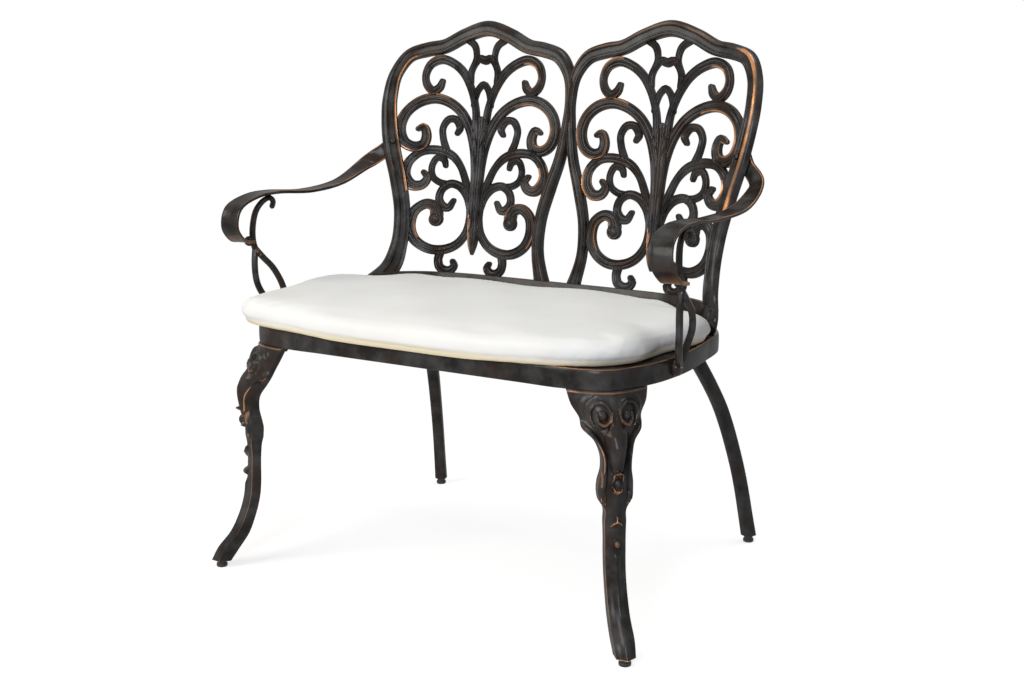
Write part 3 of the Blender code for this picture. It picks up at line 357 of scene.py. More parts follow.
def bronze_material(colours):
    # Antique bronze coat on cast aluminium: near-black with a soft sheen and a fine cast grain, clouded
    # paler and browner by hand, and rubbed through to copper along raised edges
    material, tree, shader, place = new_material(
        "antique_bronze_aluminium", Specular_IOR_Level=0.0, Coat_Weight=0.28, Coat_Roughness=0.2)
    clouds = add(tree, "TexNoise", {"Vector": place, "Scale": 1 / CLOUD, "Detail": 3.0})
    clouds = add(tree, "MapRange", {"Value": clouds, "From Min": 0.35, "From Max": 0.68})
    coat = add(tree, "Mix", {0: clouds, 6: colours.bronze_dark, 7: colours.bronze}, 2, data_type="RGBA")
    stains = add(tree, "TexNoise", {"Vector": place, "Scale": 1 / STAIN})
    stains = add(tree, "MapRange", {"Value": stains, "From Min": 0.48, "From Max": 0.66, "To Max": 0.7})
    coat = add(tree, "Mix", {0: stains, 6: coat, 7: colours.bronze_brown}, 2, data_type="RGBA")
    worn = add(tree, "Attribute", out="Fac", attribute_name="worn")
    worn = add(tree, "MapRange", {"Value": worn, "From Min": 0.2, "From Max": 0.7})
    patches = add(tree, "TexNoise", {"Vector": place, "Scale": 1 / RUBBING})
    patches = add(tree, "MapRange", {"Value": patches, "From Min": 0.36, "From Max": 0.58, "To Min": 0.35})
    rubbed = add(tree, "Math", {0: worn, 1: patches}, operation="MULTIPLY")
    sheen = add(tree, "TexNoise", {"Vector": place, "Scale": 1 / SHEEN})
    grain = add(tree, "TexNoise", {"Vector": place, "Scale": 1 / GRAIN, "Detail": 1.0})
    plug(shader, {
        "Base Color": add(tree, "Mix", {0: rubbed, 6: coat, 7: colours.copper}, 2, data_type="RGBA"),
        "Metallic": add(tree, "Math", {0: rubbed, 1: 0.5}, operation="MULTIPLY"),
        "Roughness": add(tree, "MapRange", {"Value": sheen, "From Min": 0.3, "From Max": 0.7, "To Min": 0.22,
                                            "To Max": 0.34}),
        "Normal": add(tree, "Bump", {"Strength": 0.3, "Distance": BUMP_DEPTH, "Height": grain}),
    })
    return material


def steel_material(colours):
    # Dark plated bolts: brownish grey metal, a little uneven
    material, tree, shader, place = new_material("dark_plated_steel", Metallic=0.9, Roughness=0.38)
    uneven = add(tree, "TexNoise", {"Vector": place, "Scale": 1 / PLATING})
    plug(shader, {"Base Color": add(tree, "Mix", {0: uneven, 6: colours.steel, 7: colours.bronze_dark}, 2,
                                    data_type="RGBA")})
    return material


def plastic_material(colours):
    # Black plastic feet: matt, faintly mottled
    material, tree, shader, place = new_material("black_nylon", Roughness=0.55)
    mottle = add(tree, "TexNoise", {"Vector": place, "Scale": 1 / MOTTLE})
    plug(shader, {"Base Color": add(tree, "Mix", {0: mottle, 6: colours.plastic, 7: colours.bronze_dark}, 2,
                                    data_type="RGBA")})
    return material


def canvas_material(colours):
    # Cream outdoor canvas: a plain weave, warmer in soft patches, with painted warm shade below the seam where
    # the side turns under
    material, tree, shader, place = new_material("cream_canvas", Roughness=0.88)
    patches = add(tree, "TexNoise", {"Vector": place, "Scale": 1 / FADING})
    patches = add(tree, "MapRange", {"Value": patches, "From Min": 0.35, "From Max": 0.7})
    cloth = add(tree, "Mix", {0: patches, 6: colours.canvas, 7: colours.canvas_shade}, 2, data_type="RGBA")
    # Painted warm shade: the cloth is yellower low on its side, standing in for the shade and bounced light
    # where the cushion turns under
    height = add(tree, "SeparateXYZ", {0: place}, "Z")
    above = add(tree, "MapRange", {"Value": height, "From Min": SEAT_TOP + PAINTED_SHADE_BAND[0],
                                   "From Max": SEAT_TOP + PAINTED_SHADE_BAND[1]})
    waves = {"Vector": place, "Scale": WAVE_BANDS / WEAVE}
    across = add(tree, "TexWave", waves, "Fac", bands_direction="X")
    along = add(tree, "TexWave", waves, "Fac", bands_direction="Y")
    weave = add(tree, "Math", {0: across, 1: along}, operation="MULTIPLY")
    plug(shader, {
        "Base Color": add(tree, "Mix", {0: above, 6: colours.canvas_painted_shade, 7: cloth}, 2, data_type="RGBA"),
        "Normal": add(tree, "Bump", {"Strength": 0.25, "Distance": BUMP_DEPTH, "Height": weave}),
    })
    return material


MATERIALS = {}


def shared_material(maker):
    """The maker's material, made once."""
    if maker not in MATERIALS:
        MATERIALS[maker] = maker(bpy.context.scene.bench_colours)
    return MATERIALS[maker]


# Back casting: a flat layout of (across, up from the rail top), bent onto the leaning, swept surface
BACK_LEAN = math.radians(8.0)
RAIL_INSET = 0.0156
RAIL_TOP = 0.455
SWEEP_LOW = 0.101
SWEEP_HEIGHT = 0.297
SWEEP_POWER = 6
PANEL_CENTRE = 0.180
SWEEP_AT = PANEL_CENTRE + 0.165
RAIL_HALF = PANEL_CENTRE + 0.158
SEAT_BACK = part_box("seat_frame")[1].y - FOOT_LINE
RAIL_BOTTOM = SEAT_TOP + FIT
BACK_FOOT = SEAT_BACK - RAIL_INSET - RAIL_BOTTOM * math.tan(BACK_LEAN)
NORMAL_STEP = 0.001


def back_point(x, up):
    """Middle of the back's thickness at x, at a height up the slope from the rail top."""
    rise = RAIL_TOP + up
    sweep = SWEEP_LOW * math.exp(-up / SWEEP_HEIGHT) * abs(x / SWEEP_AT) ** SWEEP_POWER
    return Vector((x, BACK_FOOT + rise * math.sin(BACK_LEAN) - sweep, rise * math.cos(BACK_LEAN)))


def back_normal(x, up):
    across = back_point(x + NORMAL_STEP, up) - back_point(x - NORMAL_STEP, up)
    rise = back_point(x, up + NORMAL_STEP) - back_point(x, up - NORMAL_STEP)
    return across.cross(rise).normalized()


def on_back(x, up, proud):
    return back_point(x, up) + proud * back_normal(x, up)


# Centre lines of a panel: (across from its middle, up from the rail top, half width)
STEM_LINE = [
    (0.0, 0.2740, 0.0090), (0.0, 0.2480, 0.0117), (0.0, 0.2140, 0.0138), (0.0, 0.1655, 0.0114),
    (0.0, 0.1150, 0.0113), (0.0, 0.0800, 0.0106), (0.0, 0.0560, 0.0086), (0.0, 0.0420, 0.0046),
    (0.0, 0.0345, 0.0010),
]
# The frame runs from the foot at the bench's end over the top to the foot at its middle
FRAME_LINE = [
    (0.1530, -0.0200, 0.0160), (0.1360, 0.0100, 0.0136), (0.1305, 0.0450, 0.0118),
    (0.1320, 0.1020, 0.0116), (0.1455, 0.1680, 0.0119), (0.1605, 0.2220, 0.0119),
    (0.1710, 0.2740, 0.0113), (0.1750, 0.3180, 0.0110), (0.1700, 0.3600, 0.0110),
    (0.1515, 0.3905, 0.0122), (0.1195, 0.4016, 0.0132), (0.0885, 0.4070, 0.0130),
    (0.0475, 0.4262, 0.0130), (0.0, 0.4392, 0.0137), (-0.0475, 0.4262, 0.0130),
    (-0.0885, 0.4070, 0.0130), (-0.1195, 0.4016, 0.0132), (-0.1515, 0.3905, 0.0122),
    (-0.1725, 0.3620, 0.0098), (-0.1788, 0.3150, 0.0068), (-0.1768, 0.2740, 0.0076),
    (-0.1678, 0.2150, 0.0088), (-0.1520, 0.1630, 0.0097), (-0.1372, 0.1020, 0.0093),
    (-0.1370, 0.0450, 0.0094), (-0.1455, 0.0090, 0.0114), (-0.1540, -0.0200, 0.0150),
]
ARCHES = {
    "heart": (0.0098, [
        (0.0, 0.3820, 0.0078), (0.0115, 0.3858, 0.0066), (0.0205, 0.3765, 0.0056),
        (0.0272, 0.3625, 0.0054), (0.0272, 0.3425, 0.0052),
    ]),
    "gothic_arch": (0.0090, [
        (0.0, 0.3400, 0.0058), (0.0085, 0.3325, 0.0057), (0.0152, 0.3175, 0.0056),
        (0.0172, 0.3020, 0.0056),
    ]),
}
SCROLLS = {
    "top_branch": (0.0116, [
        (0.0085, 0.2450, 0.0072), (0.0145, 0.3010, 0.0058), (0.0275, 0.3355, 0.0062),
        (0.0445, 0.3610, 0.0072), (0.0650, 0.3760, 0.0077), (0.0930, 0.3832, 0.0084),
        (0.1110, 0.3740, 0.0072), (0.1188, 0.3500, 0.0060), (0.1125, 0.3340, 0.0070),
        (0.1015, 0.3265, 0.0075), (0.0900, 0.3332, 0.0070), (0.0855, 0.3440, 0.0050),
    ]),
    "upper_branch": (0.0106, [
        (0.0042, 0.1620, 0.0050), (0.0064, 0.1900, 0.0068), (0.0098, 0.2230, 0.0084),
        (0.0245, 0.2640, 0.0084), (0.0420, 0.2885, 0.0084), (0.0700, 0.3070, 0.0090),
        (0.1010, 0.3133, 0.0098), (0.1280, 0.3050, 0.0096), (0.1468, 0.2865, 0.0090),
        (0.1535, 0.2565, 0.0093), (0.1425, 0.2322, 0.0093), (0.1268, 0.2252, 0.0094),
        (0.1115, 0.2300, 0.0092), (0.1075, 0.2480, 0.0083), (0.1148, 0.2614, 0.0068),
        (0.1230, 0.2578, 0.0050),
    ]),
    "middle_branch": (0.0096, [
        (0.0145, 0.1400, 0.0072), (0.0245, 0.1685, 0.0064), (0.0372, 0.1935, 0.0062),
        (0.0515, 0.2085, 0.0074), (0.0830, 0.2198, 0.0084), (0.1165, 0.2150, 0.0078),
        (0.1345, 0.1945, 0.0080), (0.1355, 0.1705, 0.0092), (0.1215, 0.1552, 0.0095),
        (0.1060, 0.1575, 0.0086), (0.0988, 0.1705, 0.0070), (0.1058, 0.1792, 0.0052),
    ]),
    "lobe": (0.0084, [
        (0.0672, 0.2203, 0.0070), (0.0752, 0.2420, 0.0060), (0.0772, 0.2600, 0.0060),
        (0.0655, 0.2762, 0.0068), (0.0545, 0.2765, 0.0070), (0.0430, 0.2590, 0.0066),
        (0.0475, 0.2514, 0.0052),
    ]),
    "small_curl": (0.0076, [
        (0.0610, 0.1588, 0.0068), (0.0752, 0.1618, 0.0063), (0.0885, 0.1712, 0.0060),
        (0.0915, 0.1925, 0.0058), (0.0825, 0.2062, 0.0063), (0.0690, 0.2018, 0.0063),
        (0.0660, 0.1926, 0.0052),
    ]),
    "lower_arch": (0.0086, [
        (0.0100, 0.1175, 0.0072), (0.0170, 0.1375, 0.0078), (0.0350, 0.1560, 0.0078),
        (0.0535, 0.1598, 0.0076), (0.0695, 0.1485, 0.0068), (0.0732, 0.1310, 0.0072),
        (0.0662, 0.1190, 0.0084), (0.0550, 0.1162, 0.0072), (0.0450, 0.1295, 0.0050),
    ]),
    "ring": (0.0108, [
        (0.0098, 0.1250, 0.0072), (0.0088, 0.0980, 0.0069), (0.0150, 0.0730, 0.0068),
        (0.0312, 0.0520, 0.0076), (0.0580, 0.0402, 0.0088), (0.0840, 0.0410, 0.0089),
        (0.1080, 0.0560, 0.0086), (0.1195, 0.0865, 0.0092), (0.1130, 0.1112, 0.0089),
        (0.0940, 0.1225, 0.0092), (0.0795, 0.1165, 0.0102), (0.0752, 0.1040, 0.0118),
    ]),
    "rail_curl": (0.0094, [
        (0.0625, 0.0365, 0.0078), (0.0652, 0.0205, 0.0074), (0.0612, 0.0085, 0.0078),
        (0.0508, 0.0030, 0.0080), (0.0395, 0.0048, 0.0076), (0.0338, 0.0125, 0.0068),
        (0.0372, 0.0196, 0.0052),
    ]),
    "horn": (0.0086, [
        (0.0395, 0.4190, 0.0066), (0.0242, 0.4080, 0.0061), (0.0190, 0.3880, 0.0052),
        (0.0262, 0.3660, 0.0052),
    ]),
}
# Sections: (across in half widths, depth below the front face, worn share), from one side over the front
# to the other
BAR_FACE = [
    (1.0, 0.0028, 0.55), (0.97, 0.0014, 1.0), (0.89, 0.0004, 0.7), (0.79, 0.0007, 0.0), (0.68, 0.0020, 0.0),
    (0.46, 0.0027, 0.0), (0.24, 0.0023, 0.0), (0.11, 0.0006, 0.0), (0.0, 0.0003, 0.2),
]
FRAME_FACE = [
    (1.0, 0.0032, 0.2), (0.96, 0.0012, 0.62), (0.89, 0.0004, 0.3), (0.80, 0.0009, 0.0), (0.70, 0.0022, 0.0),
    (0.54, 0.0022, 0.0), (0.47, 0.0010, 0.2), (0.40, 0.0010, 0.2), (0.33, 0.0023, 0.0), (0.05, 0.0026, 0.0),
    (-0.22, 0.0022, 0.0), (-0.31, 0.0004, 0.1), (-0.40, 0.0, 0.36), (-0.56, 0.0008, 0.0), (-0.75, 0.0026, 0.0),
    (-0.91, 0.0055, 0.0), (-1.0, 0.0090, 0.0),
]
# Round end inside each ring: its place, and (radius, height) from the middle of its face to its back
RING_END = (0.0757, 0.0950)
RING_END_PROFILE = [
    (0.0, 0.0060), (0.0034, 0.0058), (0.0056, 0.0050), (0.0068, 0.0036), (0.0080, 0.0034), (0.0096, 0.0050),
    (0.0112, 0.0051), (0.0126, 0.0040), (0.0132, 0.0022), (0.0132, -0.0036), (0.0120, -0.0048), (0.0, -0.0048),
]
BACK_ROUND = 0.0014
BACK_FLAT = 0.84
BAR_STEP = 0.0034
STEM_THICKNESS = 0.0125
FRAME_THICKNESS = 0.0160
RAIL_THICKNESS = 0.0168
RAIL_SOFT = 0.0018
RAIL_CUTS = 90
# A bar's face is at most this share of its thickness deep, and flattens within so many rings of a tip
FACE_SHARE = 0.6
TIP_RINGS = 5
# Bars wider than this are less worn, and nothing is worn that stands out less from the back's middle
WORN_RADIUS = 0.0095
WORN_FROM = 0.002


def whole_arch(half_line):
    return [(-across, up, half) for across, up, half in reversed(half_line[1:])] + half_line


def section_points(face, thickness):
    """Closed section: the face, then the plain back."""
    top = thickness / 2
    if face[-1][0] > -1.0:
        face = face + mirrored_face(face[:-1])
    front = [(a, top - min(depth, thickness * FACE_SHARE), worn) for a, depth, worn in face]
    back = [(-1.0, -top + BACK_ROUND, 0.0), (-BACK_FLAT, -top, 0.0), (BACK_FLAT, -top, 0.0),
            (1.0, -top + BACK_ROUND, 0.0)]
    return front + back


def mirrored_face(face):
    return [(-a, depth, worn) for a, depth, worn in reversed(face)]


def bar(name, line, thickness, middle, side, face):
    """Cast bar on a layout centre line, with ball-shaped plan ends."""
    section = section_points(face, thickness)
    rows = flow([(middle + side * across, up, half) for across, up, half in line], BAR_STEP, place=2)
    points, radii = rounded_tips([(x, up, 0.0) for x, up, _ in rows], [row[2] for row in rows])
    bm = swept(name, points, [(a, z) for a, z, _ in section], radii)
    layer = bm.verts.layers.float.new("worn")
    widest = [max(radii[max(k - TIP_RINGS, 0):k + TIP_RINGS + 1]) for k in range(len(radii))]
    edge = section[0][1]
    for number, vertex in enumerate(bm.verts):
        k, j = divmod(number, len(section))
        _, z, worn = section[j]
        flat = min(z, edge) if z > 0 else z
        vertex.co.z = flat + (z - flat) * min(1.0, radii[k] / widest[k])
        vertex[layer] = worn * min(1.0, WORN_RADIUS / radii[k]) ** 2
    close_up(bm)
    return object_from(bm, name)


def bottom_rail():
    """Rail along the foot of the back, in the flat layout, with softened edges."""
    low = RAIL_BOTTOM / math.cos(BACK_LEAN) - RAIL_TOP
    bm = bmesh.new()
    bmesh.ops.create_cube(bm, size=1.0)
    bmesh.ops.scale(bm, vec=(2 * RAIL_HALF, -low, RAIL_THICKNESS), verts=bm.verts)
    bmesh.ops.translate(bm, vec=(0.0, low / 2, 0.0), verts=bm.verts)
    bmesh.ops.bevel(bm, geom=bm.edges[:], offset=RAIL_SOFT, offset_type="OFFSET", segments=2, profile=0.5,
                    affect="EDGES", material=-1)
    lengthways = [e for e in bm.edges if abs(e.verts[0].co.x - e.verts[1].co.x) > RAIL_HALF]
    bmesh.ops.subdivide_edges(bm, edges=lengthways, cuts=RAIL_CUTS, use_grid_fill=True)
    return object_from(bm, "back_casting")


def back_casting():
    back = bottom_rail()
    bars = []
    for panel in (-1, 1):
        middle = panel * PANEL_CENTRE
        bars.append(bar("stem", STEM_LINE, STEM_THICKNESS, middle, 1, BAR_FACE))
        face = FRAME_FACE if panel < 0 else mirrored_face(FRAME_FACE)
        bars.append(bar("frame", FRAME_LINE, FRAME_THICKNESS, middle, panel, face))
        for name, (thickness, line) in ARCHES.items():
            bars.append(bar(name, whole_arch(line), thickness, middle, 1, BAR_FACE))
        for side in (-1, 1):
            for name, (thickness, line) in SCROLLS.items():
                bars.append(bar(name, line, thickness, middle, side, BAR_FACE))
            across, up = RING_END
            bars.append(turned("ring_end", RING_END_PROFILE, 36,
                               Matrix.Translation((middle + side * across, up, 0.0))))
    combine(back, bars)
    foot_line = min(vertex.co.y for vertex in back.data.vertices)
    bm = bmesh.new()
    bm.from_mesh(back.data)
    bmesh.ops.triangulate(bm, faces=[f for f in bm.faces if len(f.verts) > 4])
    layer = bm.verts.layers.float["worn"]
    for vertex in bm.verts:
        x, up, proud = vertex.co
        if proud < WORN_FROM:
            vertex[layer] = 0.0
        vertex.co = on_back(x, up, proud)
        if up < foot_line + FIT:
            vertex.co.z = RAIL_BOTTOM
    bm.to_mesh(back.data)
    bm.free()
    finish_piece(back, bronze_material, "frame", "bronze_casting", "back_panel")


# Seat rim
SEAT_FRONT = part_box("seat_frame")[0].y - FOOT_LINE
ARM_FOOT_Y = 0.178
CORNER = (0.038, 0.023)
RIM_STEP = 0.006


def mirrored_outline(right_half):
    return right_half + [(-x, y) for x, y in reversed(right_half[1:-1])]


def seat_outline():
    return mirrored_outline([
        (0.0, SEAT_FRONT), (SEAT_HALF - 0.174, SEAT_FRONT), (SEAT_HALF - 0.114, SEAT_FRONT),
        (SEAT_HALF - CORNER[0], SEAT_FRONT + CORNER[1]), (SEAT_HALF - 0.020, ARM_FOOT_Y - 0.088),
        (SEAT_HALF - 0.007, ARM_FOOT_Y - 0.050), (SEAT_HALF, ARM_FOOT_Y),
        (SEAT_HALF - 0.007, SEAT_BACK - 0.170), (SEAT_HALF - 0.024, SEAT_BACK - 0.086),
        (SEAT_HALF - 0.075, SEAT_BACK - 0.028), (SEAT_HALF - 0.184, SEAT_BACK), (0.0, SEAT_BACK)])


# Rim section: (out from the casting's side, height above its under edge)
RIM_SECTION = [
    (-0.0060, -0.0004), (-0.0008, -0.0004), (0.0006, 0.0010), (0.0010, 0.0060), (0.0012, 0.0150),
    (0.0010, 0.0245), (0.0004, 0.0290), (-0.0006, 0.0306), (-0.0022, 0.0310), (-0.0036, 0.0306),
    (-0.0042, 0.0296), (-0.0062, 0.0294), (-0.0062, 0.0150),
]


def rim_band():
    outline = flow([(x, y, 0.0) for x, y in seat_outline()], RIM_STEP, closed=True)
    bm = swept("seat_rim", [(x, y, SEAT_UNDER) for x, y, _ in outline], RIM_SECTION, closed=True)
    close_up(bm)
    rim = object_from(bm, "seat_rim")
    mark_worn(rim, EDGE_WEAR)
    finish_piece(rim, bronze_material, "frame", "bronze_casting")


# Arms: (x beyond the seat's side, y, height above the seat top)
ARM_BOLT_X = PANEL_CENTRE + 0.1615
ARM_BOLT_UP = 0.235
ARM_LINE = [
    (0.0175, 0.4240, 0.2320), (0.0225, 0.3495, 0.2038), (0.0180, 0.2525, 0.1969), (0.0215, 0.1685, 0.2022),
    (0.0220, 0.1154, 0.1997), (0.0255, 0.0744, 0.1840), (0.0290, 0.0668, 0.1530), (0.0325, 0.0880, 0.1290),
    (0.0325, 0.1120, 0.1235),
]
POST_TRUNK = [
    (0.0230, 0.1660, 0.1780), (0.0230, 0.1690, 0.1850), (0.0230, 0.1620, 0.1925), (0.0235, 0.1480, 0.1905),
    (0.0260, 0.1300, 0.1760), (0.0285, 0.1220, 0.1500), (0.0300, 0.1235, 0.1200), (0.0305, 0.1320, 0.1010),
]
POST_FRONT = [
    (0.0305, 0.1280, 0.1080), (0.0300, 0.1250, 0.0860), (0.0282, 0.1290, 0.0480), (0.0200, 0.1460, 0.0170),
    (0.0070, 0.1780, -0.0120),
]
POST_REAR = [
    (0.0305, 0.1290, 0.1090), (0.0302, 0.1460, 0.0930), (0.0285, 0.1690, 0.0720), (0.0225, 0.1840, 0.0430),
    (0.0140, 0.1850, 0.0160), (0.0070, 0.1780, -0.0120),
]
POST_STEP = 0.004
POST_THIN = 0.85
STRIP_STEPS = 10
# The strip's end on the back: how far along it points lie from the bolt, its dip and its width
STRIP_SEAT = (-0.014, 0.0, 0.020)
STRIP_DIP = math.radians(43.8)
STRIP_TAIL = 0.024
STRIP_SPREAD = 1.4
# Knots between which the strip turns from the back's slope to level
STRIP_TURN = (2.0, 4.0)
# The curl is rubbed to brown over this share of the strip's length
CURL_RUBBED = 0.5
CURL_SPAN = (0.74, 0.90)
KNOB_RADIUS = 0.0085
KNOB_BACK = 0.004
ARM_FOOT_DROP = 0.015
ARM_FOOT_PROFILE = [
    (0.0, 0.0095), (0.0085, 0.0092), (0.0115, 0.0075), (0.0130, 0.0040), (0.0130, 0.0), (0.0, 0.0),
]
# Strip section: (across in half widths, up in half thicknesses), once round
STRIP_SECTION = [
    (-1.0, -0.2), (-0.97, -0.75), (-0.90, -1.0), (-0.5, -1.0), (0.0, -1.0), (0.5, -1.0), (0.90, -1.0),
    (0.97, -0.75), (1.0, -0.2), (1.0, 0.5), (0.965, 1.0), (0.90, 1.15), (0.80, 0.95), (0.5, 0.80), (0.0, 0.78),
    (-0.5, 0.80), (-0.80, 0.95), (-0.90, 1.15), (-0.965, 1.0), (-1.0, 0.5),
]


def arm_points(side, line):
    return [Vector((side * (SEAT_HALF + x), y, SEAT_TOP + up)) for x, y, up in line]


def strip_seat(side, outward, thickness):
    x = side * ARM_BOLT_X
    behind = FRAME_THICKNESS / 2 + 2 * FIT + thickness / 2
    normal = back_normal(x, ARM_BOLT_UP)
    level = UP.cross(normal).normalized() * side
    downhill = level.cross(normal) * side
    along = level * math.cos(STRIP_DIP) + downhill * math.sin(STRIP_DIP)
    return on_back(x, ARM_BOLT_UP, -behind) + outward * along


def arm_strip(side, sizes):
    thickness = sizes.strip_thickness
    seated = [strip_seat(side, outward, thickness) for outward in STRIP_SEAT]
    path = catmull(seated + arm_points(side, ARM_LINE), STRIP_STEPS)
    last = len(path) - 1
    seat_normal = back_normal(side * ARM_BOLT_X, ARM_BOLT_UP)
    rings = []
    for k, point in enumerate(path):
        row = k / STRIP_STEPS
        tangent = (path[min(k + 1, last)] - path[max(k - 1, 0)]).normalized()
        level = tangent.cross(Vector((1.0, 0.0, 0.0))).normalized()
        if level.dot(seat_normal) < 0 and row <= STRIP_TURN[1]:
            level = -level
        normal = seat_normal.lerp(level, smooth_step(row, *STRIP_TURN))
        normal = (normal - normal.dot(tangent) * tangent).normalized()
        across = tangent.cross(normal)
        share = min(k / last * STRIP_SPREAD, 1.0)
        half = (STRIP_TAIL + (sizes.strip_width - STRIP_TAIL) * share) / 2
        rings.append([point + a * half * across + b * thickness / 2 * normal for a, b in STRIP_SECTION])
    rubbed = CURL_RUBBED * smooth_step(np.arange(last + 1) / last, *CURL_SPAN)
    return skin("strip", rings, np.repeat(rubbed[:, None], len(STRIP_SECTION), axis=1))


def catmull(knots, steps):
    ends = [2 * knots[0] - knots[1], *knots, 2 * knots[-1] - knots[-2]]
    path = []
    for a, b, c, d in zip(ends, ends[1:], ends[2:], ends[3:]):
        for k in range(steps):
            t = k / steps
            path.append(b + 0.5 * t * (c - a + t * (2 * a - 5 * b + 4 * c - d
                                                    + t * (3 * b - a - 3 * c + d))))
    path.append(knots[-1])
    return path


def post_bar(name, side, line, radius, end_radius):
    rows = flow([tuple(p) for p in arm_points(side, line)], POST_STEP)
    return tube(name, rows, np.linspace(radius, end_radius, len(rows)).tolist())


def arm_casting(word, side, sizes):
    radius = sizes.post_radius
    spot = (side * (SEAT_HALF + FIT), ARM_FOOT_Y, SEAT_TOP - ARM_FOOT_DROP)
    arm = turned(f"{word}_arm_casting", ARM_FOOT_PROFILE, 28, aim(spot, (side, 0.0, 0.0)))
    end = arm_points(side, ARM_LINE)[-1] + Vector((0.0, KNOB_BACK, 0.0))
    bm = bmesh.new()
    bmesh.ops.create_uvsphere(bm, u_segments=20, v_segments=12, radius=KNOB_RADIUS,
                              matrix=Matrix.Translation(end))
    combine(arm, [arm_strip(side, sizes), object_from(bm, "knob"),
                  post_bar("trunk", side, POST_TRUNK, radius * POST_THIN, radius),
                  post_bar("front_bar", side, POST_FRONT, radius, radius),
                  post_bar("rear_bar", side, POST_REAR, radius, radius)])
    mark_worn(arm, ARM_WEAR)
    finish_piece(arm, bronze_material, "frame", "bronze_casting", f"{word}_arm")


# Legs
LEG_TOP = SEAT_UNDER - FIT
LEG_BOTTOM = 0.0123
FRONT_FOOT_X = 0.380
# Front leg: share of the height, half width, inset of the face, its setback at the sides, wall and
# hollow behind
FRONT_LEG_STATIONS = [
    (0.000, 0.0145, -0.0125, 0.0060, 0.0270, 0.0), (0.055, 0.0158, -0.0020, 0.0060, 0.0300, 0.0),
    (0.125, 0.0155, 0.0190, 0.0060, 0.0265, 0.0), (0.200, 0.0153, 0.0330, 0.0060, 0.0235, 0.0),
    (0.300, 0.0153, 0.0440, 0.0060, 0.0220, 0.0), (0.385, 0.0155, 0.0468, 0.0060, 0.0218, 0.0),
    (0.428, 0.0156, 0.0474, 0.0060, 0.0214, 0.0), (0.490, 0.0163, 0.0483, 0.0060, 0.0212, 0.0),
    (0.556, 0.0178, 0.0468, 0.0065, 0.0252, 0.0), (0.575, 0.0228, 0.0455, 0.0090, 0.0270, 0.0010),
    (0.600, 0.0252, 0.0452, 0.0100, 0.0280, 0.0010), (0.625, 0.0258, 0.0450, 0.0110, 0.0285, 0.0010),
    (0.650, 0.0255, 0.0445, 0.0090, 0.0270, 0.0015), (0.715, 0.0214, 0.0440, 0.0080, 0.0225, 0.0020),
    (0.770, 0.0230, 0.0438, 0.0110, 0.0200, 0.0080), (0.820, 0.0310, 0.0480, 0.0200, 0.0160, 0.0200),
    (0.858, 0.0445, 0.0531, 0.0250, 0.0135, 0.0240), (0.895, 0.0462, 0.0600, 0.0260, 0.0125, 0.0250),
    (0.945, 0.0562, 0.0665, 0.0280, 0.0125, 0.0270), (1.000, 0.0612, 0.0740, 0.0300, 0.0130, 0.0285),
]
LEG_ROW_STEP = 0.004
LEG_OUTER = np.linspace(-1.0, 1.0, 81)
LEG_INNER = np.linspace(0.94, -0.94, 13)
LEG_WALL = np.array((0.05, 0.16, 0.40, 0.70, 0.95))
LINE_STEP = 0.0012
# Raised lines on the front leg's outer face, drawn for its right half: rise as a share of the half
# width, worn share, then (across, height, half width)
LEG_LINES = {
    "volute": (1.8, 0.0, [
        (0.0300, 0.3345, 0.0018), (0.0348, 0.3440, 0.0028), (0.0350, 0.3570, 0.0034), (0.0285, 0.3660, 0.0035),
        (0.0185, 0.3672, 0.0035), (0.0098, 0.3610, 0.0035), (0.0072, 0.3510, 0.0034), (0.0112, 0.3408, 0.0034),
        (0.0190, 0.3375, 0.0034), (0.0258, 0.3425, 0.0032), (0.0262, 0.3515, 0.0030)]),
    "volute_hook": (1.85, 0.36, [
        (0.0085, 0.3440, 0.0024), (0.0118, 0.3400, 0.0032), (0.0190, 0.3368, 0.0034),
        (0.0245, 0.3398, 0.0026)]),
    "brow": (0.75, 0.0, [
        (0.0395, 0.3440, 0.0022), (0.0425, 0.3560, 0.0028), (0.0385, 0.3700, 0.0026),
        (0.0290, 0.3762, 0.0020)]),
    "ear": (1.6, 0.0, [
        (0.0440, 0.3345, 0.0034), (0.0385, 0.3265, 0.0056), (0.0308, 0.3160, 0.0064), (0.0243, 0.3030, 0.0062),
        (0.0207, 0.2880, 0.0056), (0.0198, 0.2700, 0.0050), (0.0206, 0.2520, 0.0048), (0.0226, 0.2370, 0.0044),
        (0.0234, 0.2300, 0.0036)]),
    "ear_edge": (1.0, 0.42, [
        (0.0415, 0.3268, 0.0016), (0.0345, 0.3165, 0.0017), (0.0276, 0.3030, 0.0016), (0.0236, 0.2870, 0.0016),
        (0.0222, 0.2700, 0.0015), (0.0232, 0.2500, 0.0015)]),
    "toe": (1.0, 0.25, [(0.0196, 0.2420, 0.0026), (0.0186, 0.2330, 0.0036), (0.0196, 0.2248, 0.0030)]),
    "hook": (2.9, 0.4, [
        (0.0, 0.2718, 0.0027), (0.0044, 0.2702, 0.0026), (0.0068, 0.2660, 0.0023), (0.0070, 0.2605, 0.0016)]),
    "drop_rim": (3.4, 0.45, [(0.0, 0.2418, 0.0022), (0.0036, 0.2432, 0.0020), (0.0060, 0.2470, 0.0015)]),
    "star": (2.4, 0.4, [(0.0, 0.2050, 0.0016), (0.0, 0.1975, 0.0028), (0.0042, 0.1950, 0.0024),
                        (0.0085, 0.1905, 0.0014)]),
}
# Bosses: across, height, half width, half height, rise, worn share
LEG_BOSSES = [
    (0.0182, 0.3495, 0.0064, 0.0070, 0.0054, 0.15),
    (0.0, 0.2520, 0.0066, 0.0112, 0.0090, 0.0), (0.0, 0.1640, 0.0050, 0.0072, 0.0075, 0.35),
]
